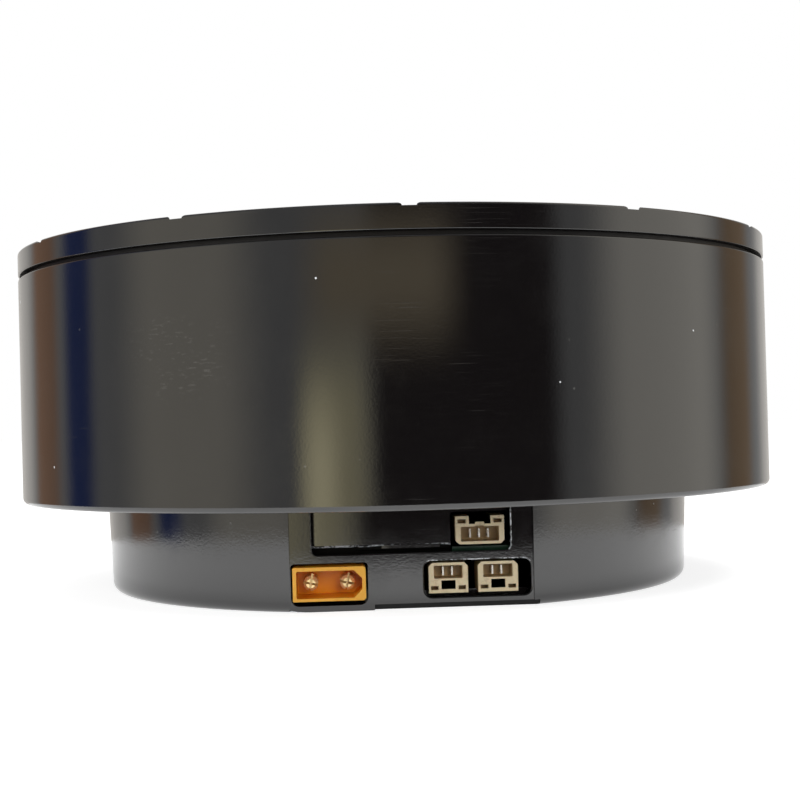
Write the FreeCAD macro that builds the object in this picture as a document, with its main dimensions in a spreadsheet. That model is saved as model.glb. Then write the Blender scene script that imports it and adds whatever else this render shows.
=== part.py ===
# Robot joint actuator: a flat brushless motor with a planetary gearbox inside its rotor
# and the motor driver board in the rear cover.
# +Z is the output axis. The origin is the centre of the rear face, and the plugs go in from -Y.
import FreeCAD, Part
import math
import os

import Sketcher

os.makedirs("parts", exist_ok=True)
doc = FreeCAD.newDocument("joint_actuator")
Vector = FreeCAD.Vector
Z_AXIS = Vector(0, 0, 1)

SIZES = {
    # housing shell
    "body_radius": 60.0,
    "body_wall": 5.0,
    "ledge_height": 14.7,
    "shell_height": 49.4,
    "front_thickness": 3.8,
    "floor_thickness": 3.0,
    "stator_shoulder": 4.5,
    "body_edge": 1.0,
    "rim_edge": 0.35,
    "seam_gap": 0.55,
    "seam_depth": 0.8,
    # housing details below the floor
    "skirt_inset": 5.9,
    "skirt_wall": 2.0,
    "skirt_seat_depth": 0.6,
    "groove_gap": 0.3,
    "groove_width": 0.5,
    "groove_depth": 0.3,
    "skirt_overlap": 0.3,
    "heat_ring_inner": 18.0,
    "heat_ring_outer": 24.3,
    "hub_wall": 3.0,
    "hub_lip": 1.0,
    "hub_lip_width": 1.1,
    # front cover
    "spigot_depth": 3.0,
    "spigot_wall": 3.0,
    "spigot_gap": 0.03,
    "sleeve_wall": 5.5,
    "sleeve_lip": 1.5,
    "sleeve_lip_width": 2.0,
    "bearing_depth": 2.5,
    "retainer_width": 6.6,
    "cover_screw_inset": 2.85,
    "cover_screw_count": 12,
    "cover_screw_length": 10.0,
    "screw_relief_radius": 3.0,
    "screw_relief_depth": 0.4,
    # output flange
    "output_proud": 1.0,
    "output_radius": 33.0,
    "output_edge": 0.4,
    "pilot_radius": 12.0,
    "pilot_depth": 5.0,
    "output_hole_circle": 23.0,
    "output_hole_count": 8,
    "output_hole_depth": 8.0,
    "dowel_radius": 2.0,
    "dowel_depth": 6.0,
    "seal_gap": 0.05,
    "snap_ring_thickness": 1.2,
    "snap_ring_depth": 0.8,
    "snap_ring_height": 1.5,
    # bearings: bore and outside radius, width, ball radius, half gap between the rings
    "output_bore": 27.5,
    "output_outside": 36.0,
    "output_width": 9.0,
    "output_ball": 2.75,
    "output_land": 1.45,
    "output_balls": 26,
    "rear_bore": 8.5,
    "rear_outside": 13.0,
    "rear_width": 5.0,
    "rear_ball": 1.5,
    "rear_land": 0.85,
    "rear_balls": 15,
    "front_bore": 4.0,
    "front_outside": 8.0,
    "front_width": 4.0,
    "front_ball": 1.2,
    "front_land": 0.8,
    "front_balls": 11,
    "race_gap": 0.05,
    "cage_wall": 0.6,
    "cage_gap": 0.08,
    "cage_rim": 0.45,
    # gears
    "gear_module": 0.75,
    "sun_teeth": 15,
    "planet_teeth": 30,
    "ring_teeth": 75,
    "planet_count": 3,
    "pressure_angle": 25.0,
    "flank_gap": 0.08,
    "gear_width": 9.6,
    "tooth_overrun": 0.3,
    "ring_wall": 3.4,
    "ring_flange_thickness": 2.0,
    "ring_flange_radius": 41.2,
    "ring_relief": 0.3,
    # planet carrier
    "disc_clearance": 1.3,
    "disc_thickness": 2.5,
    "carrier_clearance": 0.8,
    "carrier_thickness": 2.5,
    "carrier_radius": 25.3,
    "carrier_bore": 8.0,
    "pillar_radius": 4.5,
    "pillar_circle": 20.0,
    "pin_radius": 3.0,
    "pin_grip": 4.0,
    "bush_wall": 1.2,
    "bush_gap": 0.03,
    "washer_thickness": 0.8,
    "washer_radius": 6.0,
    "end_play": 0.1,
    "shaft_end_gap": 0.3,
    # motor
    "slot_count": 36,
    "pole_count": 42,
    "stack_clearance": 5.3,
    "stack_length": 14.0,
    "yoke_width": 5.0,
    "stator_bore": 38.0,
    "tooth_width": 3.6,
    "shoe_width": 5.4,
    "shoe_depth": 1.2,
    "coil_inner": 41.5,
    "coil_end_gap": 5.6,
    "coil_thickness": 1.3,
    "coil_overhang": 2.6,
    "coil_gap": 0.15,
    "air_gap": 0.5,
    "magnet_thickness": 2.2,
    "magnet_width": 4.9,
    "rotor_wall": 2.0,
    "rotor_overrun": 0.4,
    "rotor_hole_radius": 5.0,
    "rotor_hole_circle": 21.5,
    "rotor_hole_count": 6,
    "shaft_radius": 5.0,
    "shaft_overhang": 1.0,
    "encoder_magnet_radius": 3.0,
    "encoder_magnet_height": 2.0,
    "encoder_magnet_proud": 0.8,
    # rear cover
    "cover_radius_top": 46.9,
    "cover_taper": 0.55,
    "cover_wall": 2.7,
    "cover_floor": 2.0,
    "cover_edge": 1.5,
    "recess_half_width": 16.7,
    "recess_depth": 4.2,
    "recess_wall": 1.5,
    "upper_window_half_width": 13.65,
    "upper_window_bottom": 7.7,
    "surround_proud": 2.2,
    "power_surround_right": -5.2,
    "power_surround_top": 7.0,
    "power_window_left": -16.6,
    "power_window_right": -6.05,
    "power_window_bottom": 0.8,
    "power_window_top": 6.6,
    "bus_window_left": 1.6,
    "bus_window_right": 16.4,
    "bus_window_bottom": 1.5,
    "bus_window_top": 6.5,
    "window_corner": 1.1,
    "power_window_corner": 0.5,
    "boss_radius": 3.2,
    "boss_circle": 28.0,
    "boss_count": 4,
    # driver board
    "board_bottom": 6.6,
    "board_thickness": 1.6,
    "board_gap": 0.6,
    "board_tab_left": 5.7,
    "board_tab_right": 13.5,
    "board_tab_setback": 1.7,
    "board_screw_circle": 36.0,
    "board_screw_count": 5,
    "board_boss_radius": 2.8,
    "chip_height": 1.0,
    "pad_height": 1.0,
    "transistor_circle": 21.15,
    "transistor_count": 6,
    "transistor_length": 6.0,
    "transistor_width": 5.0,
    "capacitor_radius": 3.15,
    "capacitor_height": 4.1,
    "capacitor_circle": 18.5,
    "shunt_circle": 30.0,
    "lead_radius": 0.9,
    "lead_circle": 37.2,
    "lead_start": 42.3,
    "lead_bend": 1.5,
    "lead_angle": 120.0,
    "lead_pitch": 6.0,
    "lead_count": 3,
    "lead_gap": 0.3,
    # mounting holes in the ledge
    "mount_hole_inset": 5.5,
    "mount_hole_count": 8,
    "mount_hole_depth": 7.5,
    # screws: radius of the shank, of the tapped hole and of the head
    "big_screw": 2.0,
    "big_tap": 1.65,
    "big_head": 3.7,
    "cover_screw": 1.5,
    "cover_tap": 1.55,
    "cover_head": 2.75,
    "small_screw": 1.0,
    "small_tap": 1.05,
    "small_head": 1.9,
    "small_screw_length": 7.0,
    "hole_clearance": 0.15,
    # plugs: the sockets' mouths, bodies and contacts
    "plug_setback": 0.7,
    "plug_depth": 5.6,
    "plug_height": 4.2,
    "plug_wall": 0.5,
    "plug_side": 0.9,
    "plug_corner": 0.55,
    "contact_pitch": 1.25,
    "contact_width": 0.4,
    "contact_recess": 1.2,
    "solder_gap": 0.25,
    "plug_pair_width": 5.7,
    "plug_triple_width": 6.95,
    "bus_left_x": 4.9,
    "bus_right_x": 11.8,
    "sensor_x": 9.46,
    "power_proud": 1.5,
    "power_depth": 8.4,
    "power_width": 10.2,
    "power_height": 5.0,
    "power_wall": 0.7,
    "power_bottom": 1.35,
    "power_x": -11.35,
    "power_pitch": 5.0,
    "power_pin_radius": 1.0,
    "power_chamfer": 1.1,
    "power_floor": 1.4,
    "pin_recess": 1.2,
    "pin_slit": 0.25,
}

sheet = doc.addObject("Spreadsheet::Sheet", "Size")
for row, (alias, number) in enumerate(SIZES.items(), start=1):
    sheet.set(f"A{row}", alias)
    sheet.set(f"B{row}", str(number))
    sheet.setAlias(f"B{row}", alias)
doc.recompute()


def value(expression):
    """Number that an expression of the sheet's cells gives."""
    return float(sheet.evalExpression(expression))


# ---- heights, from the rear face up

board_top = "(Size.board_bottom + Size.board_thickness)"
ledge = "Size.ledge_height"
floor_top = f"({ledge} + Size.floor_thickness)"
rear_bearing_bottom = f"({floor_top} - Size.rear_width)"
hub_bottom = f"({rear_bearing_bottom} - Size.hub_lip)"
heat_face = f"({board_top} + Size.chip_height + Size.pad_height)"
skirt_bottom = f"({board_top} - Size.skirt_overlap)"
skirt_seat = f"({ledge} + Size.skirt_seat_depth)"
disc_bottom = f"({floor_top} + Size.disc_clearance)"
disc_top = f"({disc_bottom} + Size.disc_thickness)"
carrier_bottom = f"({disc_top} + Size.carrier_clearance)"
carrier_top = f"({carrier_bottom} + Size.carrier_thickness)"
planet_bottom = f"({carrier_top} + Size.washer_thickness + Size.end_play)"
planet_top = f"({planet_bottom} + Size.gear_width)"
plate_bottom = f"({planet_top} + Size.washer_thickness + Size.end_play)"
front_bearing_bottom = f"({plate_bottom} + 0.5)"
front_bearing_top = f"({front_bearing_bottom} + Size.front_width)"
front_height = "(Size.shell_height + Size.front_thickness)"
output_bearing_top = f"({front_height} - Size.bearing_depth)"
output_bearing_bottom = f"({output_bearing_top} - Size.output_width)"
sleeve_bottom = f"({output_bearing_bottom} - Size.sleeve_lip)"
output_face = f"({front_height} + Size.output_proud)"
stack_bottom = f"({floor_top} + Size.stack_clearance)"
stack_top = f"({stack_bottom} + Size.stack_length)"
shaft_bottom = f"({rear_bearing_bottom} - 0.5 - Size.shaft_overhang)"

# ---- radii, from the axis out

bore_radius = "(Size.body_radius - Size.body_wall)"
coil_outer = f"({bore_radius} - Size.coil_end_gap)"
cover_screw_circle = "(Size.body_radius - Size.cover_screw_inset)"
mount_hole_circle = "(Size.body_radius - Size.mount_hole_inset)"
cover_radius_bottom = "(Size.cover_radius_top - Size.cover_taper)"
skirt_radius = "(Size.cover_radius_top - Size.skirt_inset)"
recess_flat = "(Size.cover_radius_top - Size.recess_depth)"
power_surround_front = f"({recess_flat} + Size.surround_proud)"
board_tab_front = f"({recess_flat} - Size.board_tab_setback)"
plug_front = f"({recess_flat} - Size.plug_setback)"
power_front = f"({recess_flat} + Size.power_proud)"
sun_radius = "(Size.gear_module * Size.sun_teeth / 2)"
planet_radius = "(Size.gear_module * Size.planet_teeth / 2)"
ring_radius = "(Size.gear_module * Size.ring_teeth / 2)"
orbit_radius = f"({sun_radius} + {planet_radius})"
magnet_outer = "(Size.stator_bore - Size.air_gap)"
magnet_inner = f"({magnet_outer} - Size.magnet_thickness)"
rotor_bore = f"({magnet_inner} - Size.rotor_wall)"
ring_outside = f"({ring_radius} + 1.25 * Size.gear_module + Size.ring_wall)"
ring_relief_radius = f"({ring_radius} + 1.25 * Size.gear_module + Size.ring_relief)"
sleeve_outside = "(Size.output_outside + Size.sleeve_wall)"
sleeve_screw_circle = "(Size.output_outside + Size.sleeve_wall / 2)"
retainer_inside = "(Size.output_outside + 5 - Size.retainer_width)"
retainer_outside = "(Size.output_outside + 5)"
hub_radius = "(Size.rear_outside + Size.hub_wall)"
skirt_inside = f"({skirt_radius} - Size.skirt_wall)"
groove_inside = "(Size.cover_radius_top + Size.groove_gap)"
board_radius = f"({skirt_inside} - Size.board_gap)"
recess_inside = f"({recess_flat} - Size.recess_wall)"


# ---- sketches and features

def origin_item(body, role):
    return next(item for item in body.Origin.OriginFeatures if item.Role == role)


def outline_sketch(body, name, role, points, offset="0"):
    """Closed outline on an origin plane of the body, each corner held by its two sizes."""
    sketch = body.newObject("Sketcher::SketchObject", name)
    sketch.AttachmentSupport = [(origin_item(body, role), "")]
    sketch.MapMode = "FlatFace"
    sketch.setExpression("AttachmentOffset.Base.z", offset)
    corners = [Vector(value(across), value(up), 0) for across, up in points]
    lines = [Part.LineSegment(a, b) for a, b in zip(corners, corners[1:] + corners[:1])]
    edges = sketch.addGeometry(lines, False)
    for edge, following in zip(edges, edges[1:] + edges[:1]):
        sketch.addConstraint(Sketcher.Constraint("Coincident", edge, 2, following, 1))
    for edge, corner, expressions in zip(edges, corners, points):
        for kind, number, expression in zip(("DistanceX", "DistanceY"), corner, expressions):
            index = sketch.addConstraint(Sketcher.Constraint(kind, -1, 1, edge, 1, number))
            sketch.setExpression(f"Constraints[{index}]", expression)
    return sketch


def turned(label, points):
    """Body turned about Z from a half section of (radius, height) corners."""
    body = doc.addObject("PartDesign::Body", label)
    sketch = outline_sketch(body, f"{label}_section", "XZ_Plane", points)
    turning = body.newObject("PartDesign::Revolution", f"{label}_turning")
    turning.Profile = sketch
    turning.ReferenceAxis = (sketch, ["V_Axis"])
    turning.Angle = 360
    doc.recompute()
    return body


def extruded(body, name, kind, role, points, offset, length, reverse=False):
    """Pad or Pocket of an outline, from an origin plane moved by offset."""
    sketch = outline_sketch(body, f"{name}_outline", role, points, offset)
    feature = body.newObject(f"PartDesign::{kind}", name)
    feature.Profile = sketch
    feature.setExpression("Length", length)
    feature.Reversed = reverse
    doc.recompute()
    return feature


def primitive(body, kind, name, at, role="XY_Plane", **sizes):
    """Additive or subtractive primitive that stands at a point of an origin plane."""
    feature = body.newObject(f"PartDesign::{kind}", name)
    feature.AttachmentSupport = [(origin_item(body, role), "")]
    feature.MapMode = "FlatFace"
    for axis, expression in zip("xyz", at):
        feature.setExpression(f"AttachmentOffset.Base.{axis}", expression)
    for size, expression in sizes.items():
        feature.setExpression(size, expression)
    return feature


def around(body, name, features, count):
    """Copies of the features around Z."""
    doc.recompute()
    pattern = body.newObject("PartDesign::PolarPattern", name)
    pattern.Originals = features
    pattern.Axis = (origin_item(body, "Z_Axis"), [""])
    pattern.Angle = 360
    pattern.setExpression("Occurrences", count)
    body.Tip = pattern
    doc.recompute()
    return pattern


def on_circle(radius, angle, height):
    return f"{radius} * cos({angle} * 1 deg)", f"{radius} * sin({angle} * 1 deg)", height


def holes(body, name, radius, circle, angle, count, bottom, depth):
    """Ring of plain round holes, from bottom up by depth."""
    before = body.Shape.Volume
    hole = primitive(body, "SubtractiveCylinder", f"{name}_hole", on_circle(circle, angle, bottom),
                     Radius=radius, Height=depth)
    pattern = around(body, f"{name}_ring", [hole], count)
    if pattern.Shape.Volume >= before:
        raise RuntimeError(f"{name} cut nothing")
    return pattern


def rounded(body, name, radius, wanted):
    """Fillet on the edges of the body's last feature that wanted picks."""
    doc.recompute()
    base = body.Tip
    names = [f"Edge{i}" for i, edge in enumerate(base.Shape.Edges, start=1) if wanted(edge)]
    if not names:
        raise RuntimeError(f"{name} found no edge")
    fillet = body.newObject("PartDesign::Fillet", name)
    fillet.Base = (base, names)
    fillet.setExpression("Radius", radius)
    doc.recompute()
    return fillet


def is_circle_at(edge, radius, height):
    curve = edge.Curve
    return (isinstance(curve, Part.Circle) and abs(curve.Radius - value(radius)) < 0.01
            and abs(curve.Center.z - value(height)) < 0.01)


def shaped(label, shape, place=Vector()):
    """Piece whose shape comes from Part's functions, moved to its place."""
    piece = doc.addObject("Part::Feature", label)
    piece.Shape = shape
    piece.Placement = FreeCAD.Placement(place, piece.Placement.Rotation)
    return piece


def tube(outer, inner, bottom, height):
    base = Vector(0, 0, bottom)
    outside = Part.makeCylinder(outer, height, base)
    return outside.cut(Part.makeCylinder(inner, height, base))


def ring_of(shape, radius, start, count, step=None):
    """Copies of a shape moved out to a circle, as one compound."""
    step = step or 360 / count
    copies = []
    for index in range(int(count)):
        copy = shape.copy()
        copy.translate(Vector(radius, 0, 0))
        copy.rotate(Vector(), Z_AXIS, start + index * step)
        copies.append(copy)
    return Part.makeCompound(copies)


def block(length, width, height, bottom):
    """Box centred on Z."""
    return Part.makeBox(length, width, height, Vector(-length / 2, -width / 2, bottom))


def screw_blank(shank, head, length):
    """Outer shape of a countersunk screw, its head's face at the origin and its end down."""
    cone = head - shank
    corners = [(0, 0), (head, 0), (head, -0.15), (shank, -0.15 - cone), (shank, -length), (0, -length)]
    points = [Vector(radius, 0, height) for radius, height in corners]
    return Part.Face(Part.makePolygon(points + points[:1])).revolve(Vector(), Z_AXIS, 360)


def screw(shank, head, length):
    """Countersunk screw with a hexagon socket."""
    body = screw_blank(shank, head, length)
    across = 0.6 * shank
    hexagon = [Vector(across * math.cos(math.radians(60 * k)), across * math.sin(math.radians(60 * k)), 0)
               for k in range(7)]
    socket = Part.Face(Part.makePolygon(hexagon)).extrude(Vector(0, 0, -0.8 * shank))
    return body.cut(socket)


def screws(label, kind, length, circle, start, count, face, facing_up=True):
    """Ring of equal screws with their heads' faces at one height."""
    piece = screw(value(f"Size.{kind}_screw"), value(f"Size.{kind}_head"), value(length))
    if not facing_up:
        piece.rotate(Vector(), Vector(1, 0, 0), 180)
    piece.translate(Vector(0, 0, value(face)))
    return shaped(label, ring_of(piece, value(circle), value(start), value(count)))


def countersinks(body, name, kind, circle, angle, count, face, depth, down=True, clearance="Size.hole_clearance"):
    """Ring of countersunk clearance holes that open at a face."""
    sign = -1 if down else 1
    radius = f"(Size.{kind}_screw + {clearance})"
    cone_depth = f"(Size.{kind}_head + 0.15 - Size.{kind}_screw)"
    x, y, _ = on_circle(circle, angle, "0")
    start = f"({face} - {depth})" if down else face
    hole = primitive(body, "SubtractiveCylinder", f"{name}_hole", (x, y, start), Radius=radius, Height=depth)
    cone_start = f"({face} - {cone_depth})" if down else face
    wide = f"(Size.{kind}_head + 0.15)"
    narrow = f"Size.{kind}_screw"
    cone = primitive(body, "SubtractiveCone", f"{name}_cone", (x, y, cone_start), Height=cone_depth,
                     Radius1=narrow if down else wide, Radius2=wide if down else narrow)
    return around(body, f"{name}_ring", [hole, cone], count)


# ---- housing

housing = turned("housing", [
    (f"({hub_radius} - Size.hub_wall - Size.hub_lip_width)", hub_bottom),
    (hub_radius, hub_bottom),
    (hub_radius, ledge),
    ("Size.heat_ring_inner", ledge),
    ("Size.heat_ring_inner", heat_face),
    ("Size.heat_ring_outer", heat_face),
    ("Size.heat_ring_outer", ledge),
    (skirt_inside, ledge),
    (skirt_inside, skirt_seat),
    (skirt_radius, skirt_seat),
    (skirt_radius, ledge),
    (groove_inside, ledge),
    (groove_inside, f"({ledge} + Size.groove_depth)"),
    (f"({groove_inside} + Size.groove_width)", f"({ledge} + Size.groove_depth)"),
    (f"({groove_inside} + Size.groove_width)", ledge),
    ("Size.body_radius", ledge),
    ("Size.body_radius", "Size.shell_height"),
    (bore_radius, "Size.shell_height"),
    (bore_radius, stack_bottom),
    (f"({bore_radius} - Size.stator_shoulder)", stack_bottom),
    (f"({bore_radius} - Size.stator_shoulder)", floor_top),
    ("Size.rear_outside", floor_top),
    ("Size.rear_outside", rear_bearing_bottom),
    (f"({hub_radius} - Size.hub_wall - Size.hub_lip_width)", rear_bearing_bottom),
])
rounded(housing, "housing_edge", "Size.body_edge",
        lambda edge: is_circle_at(edge, "Size.body_radius", ledge))
board_boss = primitive(housing, "AdditiveCylinder", "board_boss",
                       on_circle("Size.board_screw_circle", "90", board_top),
                       Radius="Size.board_boss_radius", Height=f"{ledge} - {board_top}")
around(housing, "board_bosses", [board_boss], "Size.board_screw_count")
holes(housing, "board_tap", "Size.small_tap", "Size.board_screw_circle", "90",
      "Size.board_screw_count", board_top, "5")
holes(housing, "rear_cover_tap", "Size.cover_tap", "Size.boss_circle", "0",
      "Size.boss_count", ledge, "Size.floor_thickness - 0.4")
holes(housing, "front_cover_tap", "Size.cover_tap", cover_screw_circle, "-90",
      "Size.cover_screw_count", "Size.shell_height - Size.cover_screw_length + 1", "Size.cover_screw_length")
holes(housing, "mount_tap", "Size.big_tap", mount_hole_circle, "22.5",
      "Size.mount_hole_count", ledge, "Size.mount_hole_depth")
for index in range(int(value("Size.lead_count"))):
    angle = f"(Size.lead_angle + {index} * Size.lead_pitch)"
    primitive(housing, "SubtractiveCylinder", f"lead_hole_{index + 1}",
              on_circle("Size.lead_circle", angle, ledge),
              Radius="Size.lead_radius + Size.lead_gap", Height="Size.floor_thickness")

# ---- skirt round the driver board, seated in the housing's floor

board_skirt = turned("board_skirt", [
    (skirt_inside, skirt_bottom),
    (skirt_radius, skirt_bottom),
    (skirt_radius, skirt_seat),
    (skirt_inside, skirt_seat),
])
primitive(board_skirt, "SubtractiveBox", "sensor_plug_notch",
          ("Size.board_tab_left - 0.2", f"-{skirt_radius} - 1", skirt_bottom),
          Length="Size.board_tab_right - Size.board_tab_left + 0.4", Width="6",
          Height=f"Size.plug_height + {board_top} - {skirt_bottom} + 0.6")

# ---- front cover, bearing retainer and seal

front_cover = turned("front_cover", [
    ("(Size.output_outside - Size.sleeve_lip_width)", sleeve_bottom),
    (sleeve_outside, sleeve_bottom),
    (sleeve_outside, "Size.shell_height"),
    (f"({bore_radius} - Size.spigot_wall)", "Size.shell_height"),
    (f"({bore_radius} - Size.spigot_wall)", "(Size.shell_height - Size.spigot_depth)"),
    (f"({bore_radius} - Size.spigot_gap)", "(Size.shell_height - Size.spigot_depth)"),
    (f"({bore_radius} - Size.spigot_gap)", "Size.shell_height"),
    ("(Size.body_radius - Size.seam_depth)", "Size.shell_height"),
    ("(Size.body_radius - Size.seam_depth)", "(Size.shell_height + Size.seam_gap)"),
    ("(Size.body_radius - Size.rim_edge)", "(Size.shell_height + Size.seam_gap)"),
    ("Size.body_radius", "(Size.shell_height + Size.seam_gap + Size.rim_edge)"),
    ("Size.body_radius", f"({front_height} - Size.rim_edge)"),
    ("(Size.body_radius - Size.rim_edge)", front_height),
    (retainer_outside, front_height),
    (retainer_outside, output_bearing_top),
    ("Size.output_outside", output_bearing_top),
    ("Size.output_outside", output_bearing_bottom),
    ("(Size.output_outside - Size.sleeve_lip_width)", output_bearing_bottom),
])
relief_face = f"({front_height} - Size.screw_relief_depth)"
holes(front_cover, "screw_relief", "Size.screw_relief_radius", cover_screw_circle, "-90",
      "Size.cover_screw_count", relief_face, "Size.screw_relief_depth")
countersinks(front_cover, "front_cover_screw", "cover", cover_screw_circle, "-90",
             "Size.cover_screw_count", relief_face, f"({relief_face} - Size.shell_height)")
holes(front_cover, "retainer_tap", "Size.small_tap", sleeve_screw_circle, "22.5", "8",
      f"({output_bearing_top} - 5)", "5")
holes(front_cover, "ring_gear_tap", "Size.small_tap", sleeve_screw_circle, "0", "8", sleeve_bottom, "5.2")
screws("front_cover_screws", "cover", "Size.cover_screw_length", cover_screw_circle, "-90",
       "Size.cover_screw_count", relief_face)

bearing_retainer = turned("bearing_retainer", [
    (retainer_inside, output_bearing_top),
    (retainer_outside, output_bearing_top),
    (retainer_outside, front_height),
    (retainer_inside, front_height),
])
countersinks(bearing_retainer, "retainer_screw", "small", sleeve_screw_circle, "22.5", "8",
             front_height, "Size.bearing_depth")
screws("retainer_screws", "small", "Size.small_screw_length", sleeve_screw_circle, "22.5", "8",
       front_height)
turned("output_seal", [
    ("(Size.output_radius + Size.seal_gap)", f"({output_bearing_top} + 0.3)"),
    (retainer_inside, f"({output_bearing_top} + 0.3)"),
    (retainer_inside, f"({front_height} - 0.2)"),
    ("(Size.output_radius + 0.5)", f"({front_height} - 0.2)"),
    ("(Size.output_radius + Size.seal_gap)", f"({front_height} - 0.7)"),
])


# ---- bearings

def bearing(name, bottom):
    """Deep-groove bearing: two rings, the balls and their cage."""
    size = {key: value(f"Size.{name}_{key}") for key in ("bore", "outside", "width", "ball", "land")}
    pitch = f"((Size.{name}_bore + Size.{name}_outside) / 2)"
    middle = f"({bottom} + Size.{name}_width / 2)"
    sides = {
        "inner": (f"({pitch} - Size.{name}_land)", f"Size.{name}_bore"),
        "outer": (f"Size.{name}_outside", f"({pitch} + Size.{name}_land)"),
    }
    for side, (outside, inside) in sides.items():
        solids = []
        for part, radius in (("outside", outside), ("inside", inside)):
            solid = doc.addObject("Part::Cylinder", f"{name}_{side}_{part}")
            solid.setExpression("Radius", radius)
            solid.setExpression("Height", f"Size.{name}_width")
            solid.setExpression("Placement.Base.z", bottom)
            solids.append(solid)
        blank = doc.addObject("Part::Cut", f"{name}_{side}_blank")
        blank.Base, blank.Tool = solids
        race = doc.addObject("Part::Torus", f"{name}_{side}_race")
        race.setExpression("Radius1", pitch)
        race.setExpression("Radius2", f"Size.{name}_ball + Size.race_gap")
        race.setExpression("Placement.Base.z", middle)
        ring = doc.addObject("Part::Cut", f"{name}_bearing_{side}_ring")
        ring.Base, ring.Tool = blank, race
    count = value(f"Size.{name}_balls")
    radius, height = value(pitch), value(middle)
    ball = Part.makeSphere(size["ball"], Vector(0, 0, height))
    shaped(f"{name}_bearing_balls", ring_of(ball, radius, 0, count))
    wall, reach = value("Size.cage_wall"), size["ball"] + value("Size.cage_rim")
    cage = tube(radius + wall, radius - wall, height - reach, 2 * reach)
    pocket = Part.makeCylinder(size["ball"] + value("Size.cage_gap"), 4 * wall,
                               Vector(-2 * wall, 0, height), Vector(1, 0, 0))
    pockets = ring_of(pocket, radius, 0, count).Solids
    shaped(f"{name}_bearing_cage", cage.cut(pockets))


bearing("output", output_bearing_bottom)
bearing("rear", rear_bearing_bottom)
bearing("front", front_bearing_bottom)

# ---- gears

def involute(angle):
    return math.tan(angle) - angle


def gear_outline(teeth, tip, root, thickness, phase):
    """Face of a spur gear with involute flanks, one tooth centred on the phase angle."""
    pitch = value("Size.gear_module") * teeth / 2
    pressure = math.radians(value("Size.pressure_angle"))
    base = pitch * math.cos(pressure)
    half = thickness / (2 * pitch) + involute(pressure)
    start = max(base, root)
    radii = [start + (tip - start) * step / 5 for step in range(6)]
    flank = [(radius, half - involute(math.acos(min(1.0, base / radius)))) for radius in radii]
    if root < base:
        flank.insert(0, (root, flank[0][1]))

    def at(radius, angle):
        return Vector(radius * math.cos(angle), radius * math.sin(angle), 0)

    edges = []
    for tooth in range(int(teeth)):
        centre = math.radians(phase) + 2 * math.pi * tooth / teeth
        following = centre + 2 * math.pi / teeth
        rising = [at(radius, centre - angle) for radius, angle in flank]
        falling = [at(radius, centre + angle) for radius, angle in reversed(flank)]
        for points in (rising, falling):
            straight = points[:2] if points is rising else points[-2:]
            curved = points
            if root < base:
                edges.append(Part.makeLine(*straight))
                curved = points[1:] if points is rising else points[:-1]
            curve = Part.BSplineCurve()
            curve.interpolate(curved)
            edges.append(curve.toShape())
            if points is rising:
                edges.append(Part.Arc(points[-1], at(tip, centre), falling[0]).toShape())
        last, first = flank[0][1], following - flank[0][1]
        edges.append(Part.Arc(falling[-1], at(root, (centre + last + first) / 2), at(root, first)).toShape())
    return Part.Face(Part.Wire(Part.__sortEdges__(edges)))


def gear_blank(teeth, bottom, height, phase, inward=False):
    """Gear of the sheet's module; for an inward gear, the space that its teeth leave."""
    module = value("Size.gear_module")
    pitch = module * teeth / 2
    gap = value("Size.flank_gap")
    thickness = math.pi * module / 2 + (gap if inward else -gap)
    tip, root = (1.25, 1.0) if inward else (1.0, 1.25)
    face = gear_outline(teeth, pitch + tip * module, pitch - root * module, thickness, phase)
    face.translate(Vector(0, 0, bottom))
    return face.extrude(Vector(0, 0, height))


FIRST_PLANET = 90.0
sun_teeth, planet_teeth, ring_teeth = (value(f"Size.{name}_teeth") for name in ("sun", "planet", "ring"))
overrun = value("Size.tooth_overrun")
teeth_bottom = value(planet_bottom) - overrun
teeth_height = value("Size.gear_width") + 2 * overrun

ring_space = gear_blank(ring_teeth, teeth_bottom - 1, teeth_height + 1, FIRST_PLANET + 180 / ring_teeth, True)
ring_top = value(sleeve_bottom)
ring_flange = value("Size.ring_flange_thickness")
ring_body = Part.makeCylinder(value(ring_outside), ring_top - teeth_bottom, Vector(0, 0, teeth_bottom))
ring_body = ring_body.fuse(Part.makeCylinder(value("Size.ring_flange_radius"), ring_flange,
                                             Vector(0, 0, ring_top - ring_flange)))
relief_bottom = teeth_bottom + teeth_height
ring_relief = Part.makeCylinder(value(ring_relief_radius), ring_top - relief_bottom, Vector(0, 0, relief_bottom))
ring_hole = screw_blank(value("Size.small_screw + Size.hole_clearance"), value("Size.small_head") + 0.15,
                        ring_flange + 1)
ring_hole.rotate(Vector(), Vector(1, 0, 0), 180)
ring_hole.translate(Vector(0, 0, ring_top - ring_flange))
ring_screw_holes = ring_of(ring_hole, value(sleeve_screw_circle), 0, 8).Solids
shaped("ring_gear", ring_body.cut([ring_space, ring_relief] + ring_screw_holes))
screws("ring_gear_screws", "small", "Size.small_screw_length", sleeve_screw_circle, "0", "8",
       f"({sleeve_bottom} - Size.ring_flange_thickness)", facing_up=False)

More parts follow.
